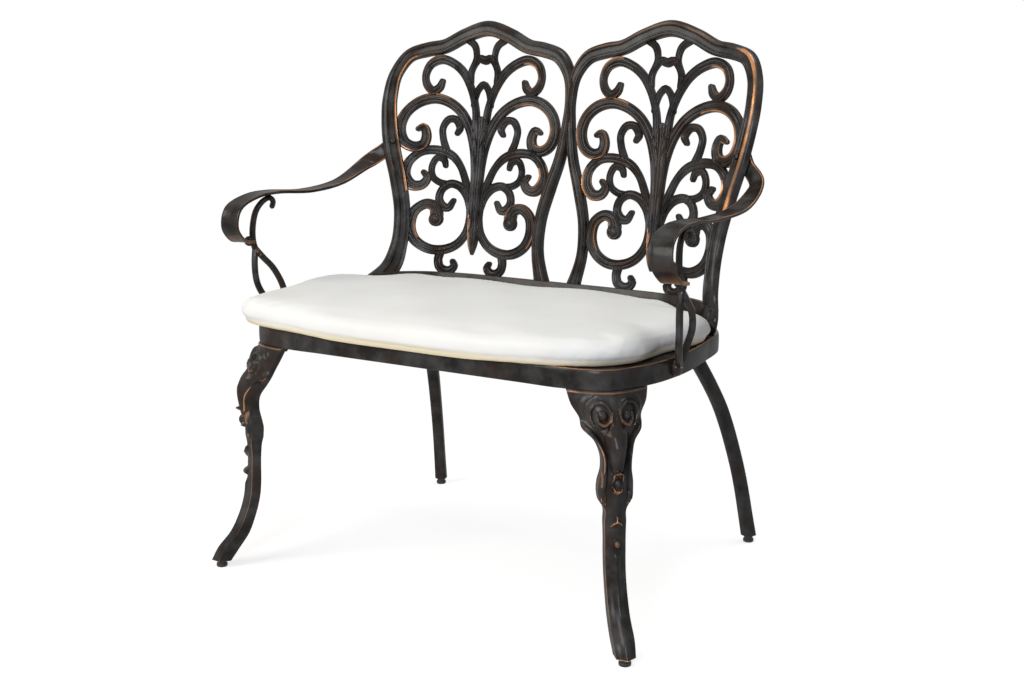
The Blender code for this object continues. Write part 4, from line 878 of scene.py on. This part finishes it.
# Nose between the ears: height, half width, rise
NOSE = np.array([
    (0.2690, 0.0080, 0.0), (0.2705, 0.0092, 0.0050), (0.2745, 0.0106, 0.0076), (0.2900, 0.0130, 0.0094),
    (0.3080, 0.0175, 0.0118), (0.3240, 0.0185, 0.0100), (0.3350, 0.0110, 0.0066), (0.3560, 0.0062, 0.0044),
    (0.3740, 0.0060, 0.0010),
]).T
# Keel: rise, half width and the heights between which it ends
KEEL = (0.0040, 0.0050, 0.140, 0.156)
# Top edge: distance below the top, half height, rise, worn share
TOP_EDGE = (0.0028, 0.0015, 0.0014, 0.55)
# Dome under each volute: across, height, radius, rise
DOME = (0.020, 0.3515, 0.021, 0.0038)
NOSE_ROUND = 0.8
BOSS_ROUND = 0.7
# How far up a boss or a line its wear starts and is full
BOSS_RUBBED = (0.1, 0.7)
LINE_RUBBED = (0.25, 0.9)
# The relief fades out at the sides, over these shares of the half width
LEG_BORDER = (0.92, 1.0)
PLATE_THICKNESS = 0.009
PLATE_RADIUS = 0.0105
PLATE_ROOT = 0.003
PLATE_REACH = {"front": 0.028, "rear": 0.020}
BORE_PROFILE = [(0.0, 0.0284), (0.0034, 0.0284), (0.0034, 0.0), (0.0, 0.0)]


def leg_relief(across, height):
    """How far the front leg's outer face stands out, and how worn it is, over a grid of places."""
    across = np.abs(across)
    rise, half, low, high = KEEL
    relief = rise * np.exp(-(across / half) ** 2) * (1 - smooth_step(height, low, high))
    down, half, rise, rubbed = TOP_EDGE
    edge = np.exp(-((height - LEG_TOP + down) / half) ** 2)
    relief = relief + rise * edge
    worn = rubbed * edge
    share = np.clip(1 - (across / np.interp(height, NOSE[0], NOSE[1])) ** 2, 0.0, 1.0)
    relief += np.interp(height, NOSE[0], NOSE[2]) * share ** NOSE_ROUND
    a, z, radius, rise = DOME
    share = np.clip(1 - ((across - a) ** 2 + (height - z) ** 2) / radius ** 2, 0.0, 1.0)
    relief += rise * share ** BOSS_ROUND
    raised = np.zeros_like(across)
    for a, z, half_across, half_up, rise, rubbed in LEG_BOSSES:
        share = np.clip(1 - ((across - a) / half_across) ** 2 - ((height - z) / half_up) ** 2, 0.0, 1.0)
        raised = np.maximum(raised, rise * share ** BOSS_ROUND)
        worn = np.maximum(worn, rubbed * smooth_step(share, *BOSS_RUBBED))
    for factor, rubbed, line in LEG_LINES.values():
        for a, z, half in flow(line, LINE_STEP, place=2):
            share = np.clip(1 - ((across - a) ** 2 + (height - z) ** 2) / half ** 2, 0.0, 1.0)
            raised = np.maximum(raised, factor * half * share ** BOSS_ROUND)
            worn = np.maximum(worn, rubbed * smooth_step(share, *LINE_RUBBED))
    return relief + raised, worn


def bolt_plate(word, end, inward):
    """Flange behind a leg's top, rounded about its two bolts."""
    bm = bmesh.new()
    for number in (1, 2):
        place = middle_of(f"{word}_{end}_leg_bolt_{number}") - Vector((0.0, FOOT_LINE, 0.0))
        place.z = LEG_TOP - PLATE_THICKNESS / 2
        near = place - PLATE_REACH[end] * Vector((*inward, 0.0))
        for spot, radius, sides in ((place, PLATE_RADIUS, 28), (near, PLATE_ROOT, 8)):
            bmesh.ops.create_cone(bm, cap_ends=True, segments=sides, radius1=radius, radius2=radius,
                                  depth=PLATE_THICKNESS, matrix=Matrix.Translation(spot))
    hull = bmesh.ops.convex_hull(bm, input=bm.verts[:])
    kept = set(hull["geom"])
    bmesh.ops.delete(bm, geom=[f for f in bm.faces if f not in kept], context="FACES_ONLY")
    loose = [item for item in hull["geom_interior"] if isinstance(item, bmesh.types.BMVert)]
    bmesh.ops.delete(bm, geom=loose, context="VERTS")
    bmesh.ops.dissolve_limit(bm, angle_limit=0.01, verts=bm.verts, edges=bm.edges)
    return object_from(bm, "plate")


def finish_leg(leg, word, end, foot, inward, wear):
    """Adds the leg's flange, bores it for the glide's stud and dresses it."""
    combine(leg, [bolt_plate(word, end, inward)])
    bore = turned("bore", BORE_PROFILE, 24, Matrix.Translation((foot.x, foot.y, 0.0)))
    combine(leg, [bore], "DIFFERENCE")
    mark_worn(leg, wear)
    finish_piece(leg, bronze_material, "frame", "bronze_casting", f"{word}_{end}_leg")


def front_leg_casting(word, side):
    foot = Vector((side * FRONT_FOOT_X, 0.0))
    way = Vector((side * (SEAT_HALF - CORNER[0]), SEAT_FRONT + CORNER[1])) - foot
    inward = way.normalized()
    rows = np.array(flow(FRONT_LEG_STATIONS, LEG_ROW_STEP, place=1)).T[:, :, None]
    share, half, front, setback, wall, hollow = rows
    height = LEG_BOTTOM + share * (LEG_TOP - LEG_BOTTOM)
    outer_across = half * LEG_OUTER
    relief, worn = leg_relief(outer_across, height + 0 * LEG_OUTER)
    inside_edge = 1 - smooth_step(np.abs(LEG_OUTER), *LEG_BORDER)
    outer = front + setback * LEG_OUTER ** 2 - relief * inside_edge
    inner = front + wall + hollow * LEG_INNER ** 2
    inner_across = half * LEG_INNER
    right = outer[:, -1:] + (inner[:, :1] - outer[:, -1:]) * LEG_WALL
    right_across = outer_across[:, -1:] + (inner_across[:, :1] - outer_across[:, -1:]) * LEG_WALL
    inset = np.hstack([outer, right, inner, right[:, ::-1]])
    inset = inset + (way.length - FRONT_LEG_STATIONS[-1][2]) * share
    across = np.hstack([outer_across, right_across, inner_across, -right_across[:, ::-1]])
    rings = np.stack([foot.x + inset * inward.x + across * inward.y,
                      foot.y + inset * inward.y - across * inward.x, height + 0 * inset], axis=-1)
    marks = np.zeros(inset.shape)
    marks[:, :len(LEG_OUTER)] = worn
    leg = skin(f"{word}_front_leg_casting", rings, marks)
    finish_leg(leg, word, "front", foot, inward, RELIEF_WEAR)


# Rear leg: share of the height, share of the way in, size factor
REAR_LEG_STATIONS = [
    (0.00, 0.000, 0.98), (0.11, 0.060, 0.94), (0.23, 0.125, 0.92), (0.34, 0.195, 0.92), (0.45, 0.280, 0.93),
    (0.56, 0.375, 0.95), (0.67, 0.490, 0.98), (0.78, 0.640, 1.02), (0.89, 0.812, 1.08), (1.00, 1.000, 1.20),
]
REAR_SECTION_SIDES = 24
REAR_LEG_STEP = 0.02
REAR_FOOT = (0.327, 0.577)
REAR_TOP_INSET = (0.102, 0.045)
REAR_HALF = (0.0115, 0.0120)
REAR_SQUARE = 0.55


def rear_leg_casting(word, side):
    foot = Vector((side * REAR_FOOT[0], REAR_FOOT[1]))
    way = Vector((side * (SEAT_HALF - REAR_TOP_INSET[0]), SEAT_BACK - REAR_TOP_INSET[1])) - foot
    inward = way.normalized()
    sideways = Vector((inward.y, -inward.x))
    turns = 2 * np.pi * np.arange(REAR_SECTION_SIDES) / REAR_SECTION_SIDES
    section = [np.sign(value) * np.abs(value) ** REAR_SQUARE for value in (np.cos(turns), np.sin(turns))]
    rings = []
    for share, along, factor in flow(REAR_LEG_STATIONS, REAR_LEG_STEP, place=1):
        height = LEG_BOTTOM + share * (LEG_TOP - LEG_BOTTOM)
        ring = []
        for a, d in np.transpose(section).tolist():
            point = foot + way * along + factor * (a * REAR_HALF[0] * sideways + d * REAR_HALF[1] * inward)
            ring.append((point.x, point.y, height))
        rings.append(ring)
    leg = skin(f"{word}_rear_leg_casting", rings)
    finish_leg(leg, word, "rear", foot, inward, EDGE_WEAR)


# Glides and bolts
GLIDE_PROFILE = [
    (0.0, 0.0268), (0.0022, 0.0268), (0.0030, 0.0260), (0.0030, 0.0122), (0.0070, 0.0120), (0.0077, 0.0113),
    (0.0077, 0.0068), (0.0082, 0.0061), (0.0089, 0.0058), (0.0092, 0.0052), (0.0092, 0.0018), (0.0087, 0.0006),
    (0.0077, 0.0), (0.0, 0.0),
]
BOLT_PROFILE = [
    (0.0, 0.0030), (0.0019, 0.0030), (0.0020, 0.0041), (0.0034, 0.0039), (0.0047, 0.0029), (0.0054, 0.0014),
    (0.0055, 0.0), (0.0, 0.0),
]
BOLT_SUNK = 0.0005


def glide_foot(node):
    spot = middle_of(node)
    foot = turned(f"{node}_foot", GLIDE_PROFILE, 40, Matrix.Translation((spot.x, spot.y - FOOT_LINE, 0.0)))
    finish_piece(foot, plastic_material, node, "black_plastic", node)


def bolt_head(word, side):
    x = side * ARM_BOLT_X
    seat = on_back(x, ARM_BOLT_UP, FRAME_THICKNESS / 2 - BOLT_SUNK)
    head = turned(f"{word}_arm_back_bolt_head", BOLT_PROFILE, 32, aim(seat, back_normal(x, ARM_BOLT_UP)))
    finish_piece(head, steel_material, "frame", "dark_steel", f"{word}_arm_back_bolt")


# Cushion
CUSHION_SHIFT = -0.012
CUSHION_DROOP = 0.010
CUSHION_INSET = 0.024
CUSHION_HALF = SEAT_HALF - 0.002
CUSHION_DEEP = 0.19
CUSHION_FRONT = SEAT_FRONT - 0.035
CUSHION_BACK = SEAT_BACK - 0.042
CUSHION_MIDDLE = (CUSHION_FRONT + CUSHION_BACK) / 2
CUSHION_LOW = SEAT_TOP + FIT
# Right half of the outline: (in from the side, behind the front), then (in, before the back)
CUSHION_FORE = [
    (0.170, 0.009), (0.085, 0.026), (0.026, 0.060), (0.0, 0.105), (0.004, 0.185), (0.005, 0.240),
]
CUSHION_REAR = [(0.016, 0.128), (0.048, 0.080), (0.071, 0.047), (0.103, 0.018), (0.155, 0.001)]
# How the filling has settled at the corners: place, reach and push
CUSHION_CORNERS = [
    ((-0.336, 0.045), 0.065, (-0.0185, -0.0100)), ((0.315, 0.030), 0.070, (-0.0040, 0.0000)),
    ((0.352, 0.285), 0.075, (0.0330, 0.0120)), ((-0.350, 0.290), 0.065, (-0.0270, 0.0170)),
]
# Side profile from base to top: (drawn in, share of the thickness)
CUSHION_SIDE = [
    (0.024, 0.0), (0.014, 0.03), (0.009, 0.08), (0.002, 0.25), (0.0, 0.45), (0.002, 0.67), (0.008, 0.87),
    (0.020, 1.0),
]
OUTLINE_STEP = 0.012
SIDE_STEP = 0.004
CROWN_SPAN = (0.05, 0.97)
CROWN_RINGS = 24
CUSHION_VOXEL = 0.006
REST_BAND = 0.0015
REST_NORMAL = -0.5
SWELL_PRESSURE = 4.0
SWELL_FRAMES = 20
SWELL_CAP = 0.0042
SWELL_SLACK = 0.003
SEAM_HEIGHT = 0.011
SEAM_HALF = 0.0032
SEAM_DEPTH = 0.0024
SEAM_DROOP = 0.6
PUCKER = 0.0006
PUCKER_UP = 0.008
PUCKER_HALF = 0.007
# Waves of the puckers: count round the side, start and share
PUCKER_WAVES = [(61, 0.0, 0.6), (37, 1.3, 0.4)]
SETTLE = 0.0010
# Limits of the normal's downward part on the side, and of its upward part on the top and where it is plump
SIDE_NORMAL = (-0.75, -0.2)
TOP_NORMAL = (0.5, 0.95)
PLUMP_NORMAL = (0.0, 0.5)
# Plump places on the top: place, reach and rise
PLUMP = [((-0.300, 0.250), 0.110, 0.0050), ((-0.350, 0.190), 0.055, 0.0085)]


def cushion_outline():
    fore = [(CUSHION_HALF - inset, CUSHION_FRONT + behind) for inset, behind in CUSHION_FORE]
    rear = [(CUSHION_HALF - inset, CUSHION_BACK - before) for inset, before in CUSHION_REAR]
    outline = mirrored_outline([(0.0, CUSHION_FRONT), *fore, *rear, (0.0, CUSHION_BACK)])
    points = []
    for row in flow([(x, y, 0.0) for x, y in outline], OUTLINE_STEP, closed=True):
        point = Vector(row)
        for (x, y), reach, push in CUSHION_CORNERS:
            near = math.exp(-((point.x - x) ** 2 + (point.y - y) ** 2) / reach ** 2)
            point += near * Vector((*push, 0.0))
        points.append(point)
    return points


def cushion_droop(y):
    return CUSHION_DROOP * smooth_step(CUSHION_FRONT + CUSHION_INSET - y, 0.0, CUSHION_INSET)


def cushion_block(sizes):
    """Cushion before it is filled out, drawn in by the slack."""
    outline = cushion_outline()
    middle = Vector((0.0, CUSHION_MIDDLE, 0.0))
    thick = sizes.cushion_thickness - SWELL_SLACK
    rings = []
    for inset, share in flow(CUSHION_SIDE, SIDE_STEP, place=2):
        ring = [point - (inset + SWELL_SLACK) * (point - middle).normalized() for point in outline]
        rise = CUSHION_LOW + share * thick
        rings.append([(p.x, p.y, rise - (1 - share) * cushion_droop(p.y)) for p in ring])
    for share in np.linspace(*CROWN_SPAN, CROWN_RINGS).tolist():
        rise = CUSHION_LOW + thick + sizes.cushion_crown * math.sin(share * math.pi / 2)
        rings.append([middle.lerp(p, 1.0 - share) + Vector((0.0, 0.0, rise)) for p in ring])
    return skin("cushion_cover", rings)


def keep_result(obj):
    """The object's modifiers applied to its mesh."""
    old = obj.data
    mesh = evaluated_mesh(obj)
    obj.modifiers.clear()
    obj.data = mesh
    bpy.data.meshes.remove(old)


def points_of(mesh):
    points = np.empty(len(mesh.vertices) * 3)
    mesh.vertices.foreach_get("co", points)
    return points.reshape(-1, 3)


def swell(cushion):
    """Fills the cushion out with cloth under pressure, its rest held flat."""
    remesh = cushion.modifiers.new("Remesh", "REMESH")
    remesh.mode = "VOXEL"
    remesh.voxel_size = CUSHION_VOXEL
    keep_result(cushion)
    before = points_of(cushion.data)
    resting = cushion.vertex_groups.new(name="resting")
    low = CUSHION_LOW + REST_BAND
    held = [vertex.index for vertex in cushion.data.vertices
            if vertex.co.z < low and vertex.normal.z < REST_NORMAL]
    resting.add(held, 1.0, "REPLACE")
    cloth = cushion.modifiers.new("Cloth", "CLOTH")
    cloth.settings.quality = 6
    cloth.settings.use_pressure = True
    cloth.settings.uniform_pressure_force = SWELL_PRESSURE
    cloth.settings.vertex_group_mass = resting.name
    cloth.settings.effector_weights.gravity = 0.0
    scene = bpy.context.scene
    for step in range(1, SWELL_FRAMES + 1):
        scene.frame_set(step)
    keep_result(cushion)
    scene.frame_set(1)
    moves = points_of(cushion.data) - before
    lengths = np.linalg.norm(moves, axis=1, keepdims=True)
    moves *= np.minimum(1.0, SWELL_CAP / np.maximum(lengths, WELD))
    cushion.data.vertices.foreach_set("co", (before + moves).ravel())
    cushion.vertex_groups.clear()
    finer = cushion.modifiers.new("Subdivision", "SUBSURF")
    finer.levels = finer.render_levels = 1
    keep_result(cushion)


def sew(mesh):
    """Seam round the cushion's side, drawn in, with small puckers above it, and a settled, plump top."""
    points = points_of(mesh)
    normals = np.empty(points.size)
    mesh.vertices.foreach_get("normal", normals)
    lift = normals[2::3]
    x, y, z = points.T
    out = points[:, :2] - (0.0, CUSHION_MIDDLE)
    turn = np.arctan2(out[:, 1] * CUSHION_HALF, out[:, 0] * CUSHION_DEEP)
    above = z - (SEAT_TOP + SEAM_HEIGHT - cushion_droop(y) * SEAM_DROOP)
    side = smooth_step(-lift, *SIDE_NORMAL)
    pucker = sum(share * np.sin(turn * count + start) for count, start, share in PUCKER_WAVES)
    draw = SEAM_DEPTH * np.exp(-(above / SEAM_HALF) ** 2)
    draw -= PUCKER * pucker * np.exp(-((above - PUCKER_UP) / PUCKER_HALF) ** 2)
    # Long uneven waves over the top, in radians per metre
    settle = np.sin(x * 19.0 + 0.8) * np.cos(y * 15.0 - 0.4) + 0.6 * np.sin(x * 34.0 + y * 27.0)
    out /= np.linalg.norm(out, axis=1, keepdims=True)
    points[:, :2] -= out * (draw * side)[:, None]
    points[:, 2] += SETTLE * settle * smooth_step(lift, *TOP_NORMAL)
    for (full_x, full_y), reach, rise in PLUMP:
        near = np.exp(-((x - full_x) ** 2 + (y - full_y) ** 2) / reach ** 2)
        points[:, 2] += rise * near * smooth_step(lift, *PLUMP_NORMAL)
    mesh.vertices.foreach_set("co", points.ravel())
    mesh.update()


def cushion_piece(sizes):
    cushion = cushion_block(sizes)
    swell(cushion)
    sew(cushion.data)
    cushion.data.transform(Matrix.Translation((CUSHION_SHIFT, 0.0, 0.0)))
    finish_piece(cushion, canvas_material, "cushion", "cream_canvas", "seat_cushion", smooth_angle=60.0)


# Stage
CAMERA_PLACE = (1.2653, -1.7491 + FOOT_LINE, 0.8812)
CAMERA_TURN = (math.radians(90 - 11.88), 0.0, math.radians(31.53))
CAMERA_LENS = 51.847
SENSOR_WIDTH = 36.0
FLOOR_HALF = 9.0
FLOOR_TINT = "cacaca"
FLOOR_LIFT = 0.72
FLOOR_FADE = (0.7, 1.7)
WORLD_TINT = "eef0f4"
WORLD_FILL = 0.14
LAMP_TARGET = (0.0, 0.0, 0.45)
# Lamps: place, diameter, power and colour
LAMPS = {
    "key": ((-1.5, -3.0, 2.1), 2.2, 82.0, "fffaf2"),
    "kicker": ((0.9, -3.0, 1.3), 1.0, 34.0, "e8eeff"),
    "top": ((0.5, 0.1, 3.0), 1.2, 30.0, "fbfcff"),
}


def seen_directly(tree):
    """1 for rays from the camera, a reflection or through glass, which see a white studio."""
    rays = add(tree, "LightPath").node.outputs
    seen = rays["Is Camera Ray"]
    for name in ("Is Glossy Ray", "Is Transmission Ray"):
        seen = add(tree, "Math", {0: seen, 1: rays[name]}, operation="MAXIMUM")
    return seen


def floor_material(colours):
    # Matt white studio floor: faintly uneven, lit up to white away from the shadow
    material, tree, shader, place = new_material("painted_board", Roughness=0.9)
    uneven = add(tree, "TexNoise", {"Vector": place, "Scale": 1 / BOARD})
    tint = add(tree, "Mix", {0: uneven, 6: colours.floor, 7: hex_colour(FLOOR_TINT)}, 2, data_type="RGBA")
    plug(shader, {"Base Color": tint})
    seen = seen_directly(tree)
    lift = add(tree, "Math", {0: seen, 1: FLOOR_LIFT}, operation="MULTIPLY")
    near = add(tree, "AddShader", {0: shader.outputs[0], 1: add(tree, "Emission", {"Strength": lift})})
    far = add(tree, "Emission", {"Strength": 1.0})
    distance = add(tree, "VectorMath", {0: place}, "Value", operation="LENGTH")
    fade = add(tree, "MapRange", {"Value": distance, "From Min": FLOOR_FADE[0], "From Max": FLOOR_FADE[1]})
    share = add(tree, "Math", {0: seen, 1: fade}, operation="MULTIPLY")
    plug(tree.nodes["Material Output"], {"Surface": add(tree, "MixShader", {0: share, 1: near, 2: far})})
    return material


def stage(colours):
    bm = bmesh.new()
    bmesh.ops.create_grid(bm, x_segments=1, y_segments=1, size=FLOOR_HALF)
    floor = object_from(bm, "floor")
    floor.data.materials.append(floor_material(colours))
    scene = bpy.context.scene
    scene.world = bpy.data.worlds.new("studio")
    scene.world.use_nodes = True
    tree = scene.world.node_tree
    white = tree.nodes["Background"]
    plug(white, {"Color": (1.0, 1.0, 1.0, 1.0), "Strength": 1.0})
    light = add(tree, "Background", {"Color": hex_colour(WORLD_TINT), "Strength": WORLD_FILL})
    either = add(tree, "MixShader", {0: seen_directly(tree), 1: light, 2: white.outputs[0]})
    plug(tree.nodes["World Output"], {"Surface": either})
    for name, (place, size, power, code) in LAMPS.items():
        lamp = bpy.data.lights.new(name, "AREA")
        lamp.shape = "DISK"
        lamp.size = size
        lamp.energy = power
        lamp.color = hex_colour(code)[:3]
        obj = add_object(name, lamp)
        obj.location = place
        obj.rotation_euler = (Vector(LAMP_TARGET) - Vector(place)).to_track_quat("-Z", "Y").to_euler()
    camera = bpy.data.cameras.new("camera")
    camera.lens = CAMERA_LENS
    camera.sensor_width = SENSOR_WIDTH
    view = add_object("camera", camera)
    view.location = CAMERA_PLACE
    view.rotation_euler = CAMERA_TURN
    scene.camera = view
    scene.view_settings.view_transform = "Standard"


# Add-on
CASTING_EDGE = 0.0012
BOLT_EDGE = 0.0004


def dress_node(node, maker, edge):
    """Gives a CAD node its material and soft edges."""
    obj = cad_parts[node]
    obj.data.materials.clear()
    obj.data.materials.append(shared_material(maker))
    bevel = obj.modifiers.new("Bevel", "BEVEL")
    bevel.width = edge
    bevel.segments = 2
    bevel.limit_method = "ANGLE"


def length_property(label, words, value, low, high):
    return bpy.props.FloatProperty(name=label, description=words, default=value, min=low, max=high,
                                   unit="LENGTH")


class BenchSizes(bpy.types.PropertyGroup):
    strip_thickness: length_property(
        "Arm strip thickness", "Thickness of the flat arm strip", 0.005, 0.002, 0.012)
    strip_width: length_property(
        "Arm strip width", "Width of the arm strip at its curl", 0.036, 0.02, 0.06)
    post_radius: length_property(
        "Post radius", "Radius of the forked arm post's bars", 0.0055, 0.003, 0.01)
    cushion_thickness: length_property(
        "Cushion thickness", "Height of the cushion's side", 0.0405, 0.02, 0.08)
    cushion_crown: length_property(
        "Cushion crown", "Rise of the cushion's middle above its edge", 0.009, 0.0, 0.03)


def colour_property(label, words, code):
    return bpy.props.FloatVectorProperty(name=label, description=words, default=hex_colour(code), size=4,
                                         min=0.0, max=1.0, subtype="COLOR")


class BenchColours(bpy.types.PropertyGroup):
    bronze: colour_property("Bronze", "Paler parts of the bronze coat", "454341")
    bronze_dark: colour_property("Dark bronze", "Darker parts of the bronze coat", "1e1c1a")
    bronze_brown: colour_property("Brown bronze", "Browner parts of the bronze coat", "302219")
    copper: colour_property("Copper", "Metal colour where the coat is rubbed through", "bd8558")
    steel: colour_property("Steel", "Bolts and nuts", "4a4440")
    plastic: colour_property("Plastic", "Feet under the legs", "141414")
    canvas: colour_property("Canvas", "Cushion cloth", "eeeeea")
    canvas_shade: colour_property("Canvas shade", "Warmer patches of the cushion cloth", "eae9e3")
    # Painted warm shade: the colour below the seam stands in for shade and bounced light under the cushion's
    # edge
    canvas_painted_shade: colour_property("Canvas underside", "Cloth below the seam", "dccfae")
    floor: colour_property("Floor", "Studio floor", "c2c2c2")


class BENCH_OT_back(bpy.types.Operator):
    """Build the scroll back"""
    bl_idname = "bench.back"
    bl_label = "Scroll back"

    def execute(self, context):
        back_casting()
        return {"FINISHED"}


class BENCH_OT_seat(bpy.types.Operator):
    """Build the seat's rim and dress its deck"""
    bl_idname = "bench.seat"
    bl_label = "Seat"

    def execute(self, context):
        rim_band()
        dress_node("seat_frame", bronze_material, CASTING_EDGE)
        return {"FINISHED"}


class BENCH_OT_arms(bpy.types.Operator):
    """Build both arms"""
    bl_idname = "bench.arms"
    bl_label = "Arms"

    def execute(self, context):
        for word, side in SIDES:
            arm_casting(word, side, context.scene.bench_sizes)
        return {"FINISHED"}


class BENCH_OT_legs(bpy.types.Operator):
    """Build the four legs"""
    bl_idname = "bench.legs"
    bl_label = "Legs"

    def execute(self, context):
        for word, side in SIDES:
            front_leg_casting(word, side)
            rear_leg_casting(word, side)
        return {"FINISHED"}


class BENCH_OT_fittings(bpy.types.Operator):
    """Build the feet and bolt heads and dress the other bolts"""
    bl_idname = "bench.fittings"
    bl_label = "Feet and bolts"

    def execute(self, context):
        for node in GLIDES:
            glide_foot(node)
        for word, side in SIDES:
            bolt_head(word, side)
        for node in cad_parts:
            if node.endswith("nut") or "_bolt" in node:
                dress_node(node, steel_material, BOLT_EDGE)
        return {"FINISHED"}


class BENCH_OT_cushion(bpy.types.Operator):
    """Build the loose cushion"""
    bl_idname = "bench.cushion"
    bl_label = "Cushion"

    def execute(self, context):
        cushion_piece(context.scene.bench_sizes)
        return {"FINISHED"}


class BENCH_OT_stage(bpy.types.Operator):
    """Build the floor, lights and camera"""
    bl_idname = "bench.stage"
    bl_label = "Stage"

    def execute(self, context):
        stage(context.scene.bench_colours)
        return {"FINISHED"}


OPERATORS = (BENCH_OT_back, BENCH_OT_seat, BENCH_OT_arms, BENCH_OT_legs, BENCH_OT_fittings, BENCH_OT_cushion,
             BENCH_OT_stage)


class BENCH_PT_pieces(bpy.types.Panel):
    """Sizes, colours and pieces of the bench"""
    bl_idname = "BENCH_PT_pieces"
    bl_label = "Bench"
    bl_space_type = "VIEW_3D"
    bl_region_type = "UI"
    bl_category = "Bench"

    def draw(self, context):
        for group in (context.scene.bench_sizes, context.scene.bench_colours):
            for key in group.__annotations__:
                self.layout.prop(group, key)
        for operator in OPERATORS:
            self.layout.operator(operator.bl_idname)


CLASSES = (BenchSizes, BenchColours, *OPERATORS, BENCH_PT_pieces)


def register():
    for item in CLASSES:
        bpy.utils.register_class(item)
    bpy.types.Scene.bench_sizes = bpy.props.PointerProperty(type=BenchSizes)
    bpy.types.Scene.bench_colours = bpy.props.PointerProperty(type=BenchColours)


def unregister():
    del bpy.types.Scene.bench_colours
    del bpy.types.Scene.bench_sizes
    for item in reversed(CLASSES):
        bpy.utils.unregister_class(item)


def main():
    register()
    bpy.ops.bench.back()
    bpy.ops.bench.seat()
    bpy.ops.bench.arms()
    bpy.ops.bench.legs()
    bpy.ops.bench.fittings()
    bpy.ops.bench.cushion()
    bpy.ops.bench.stage()


if __name__ == "__main__":
    main()
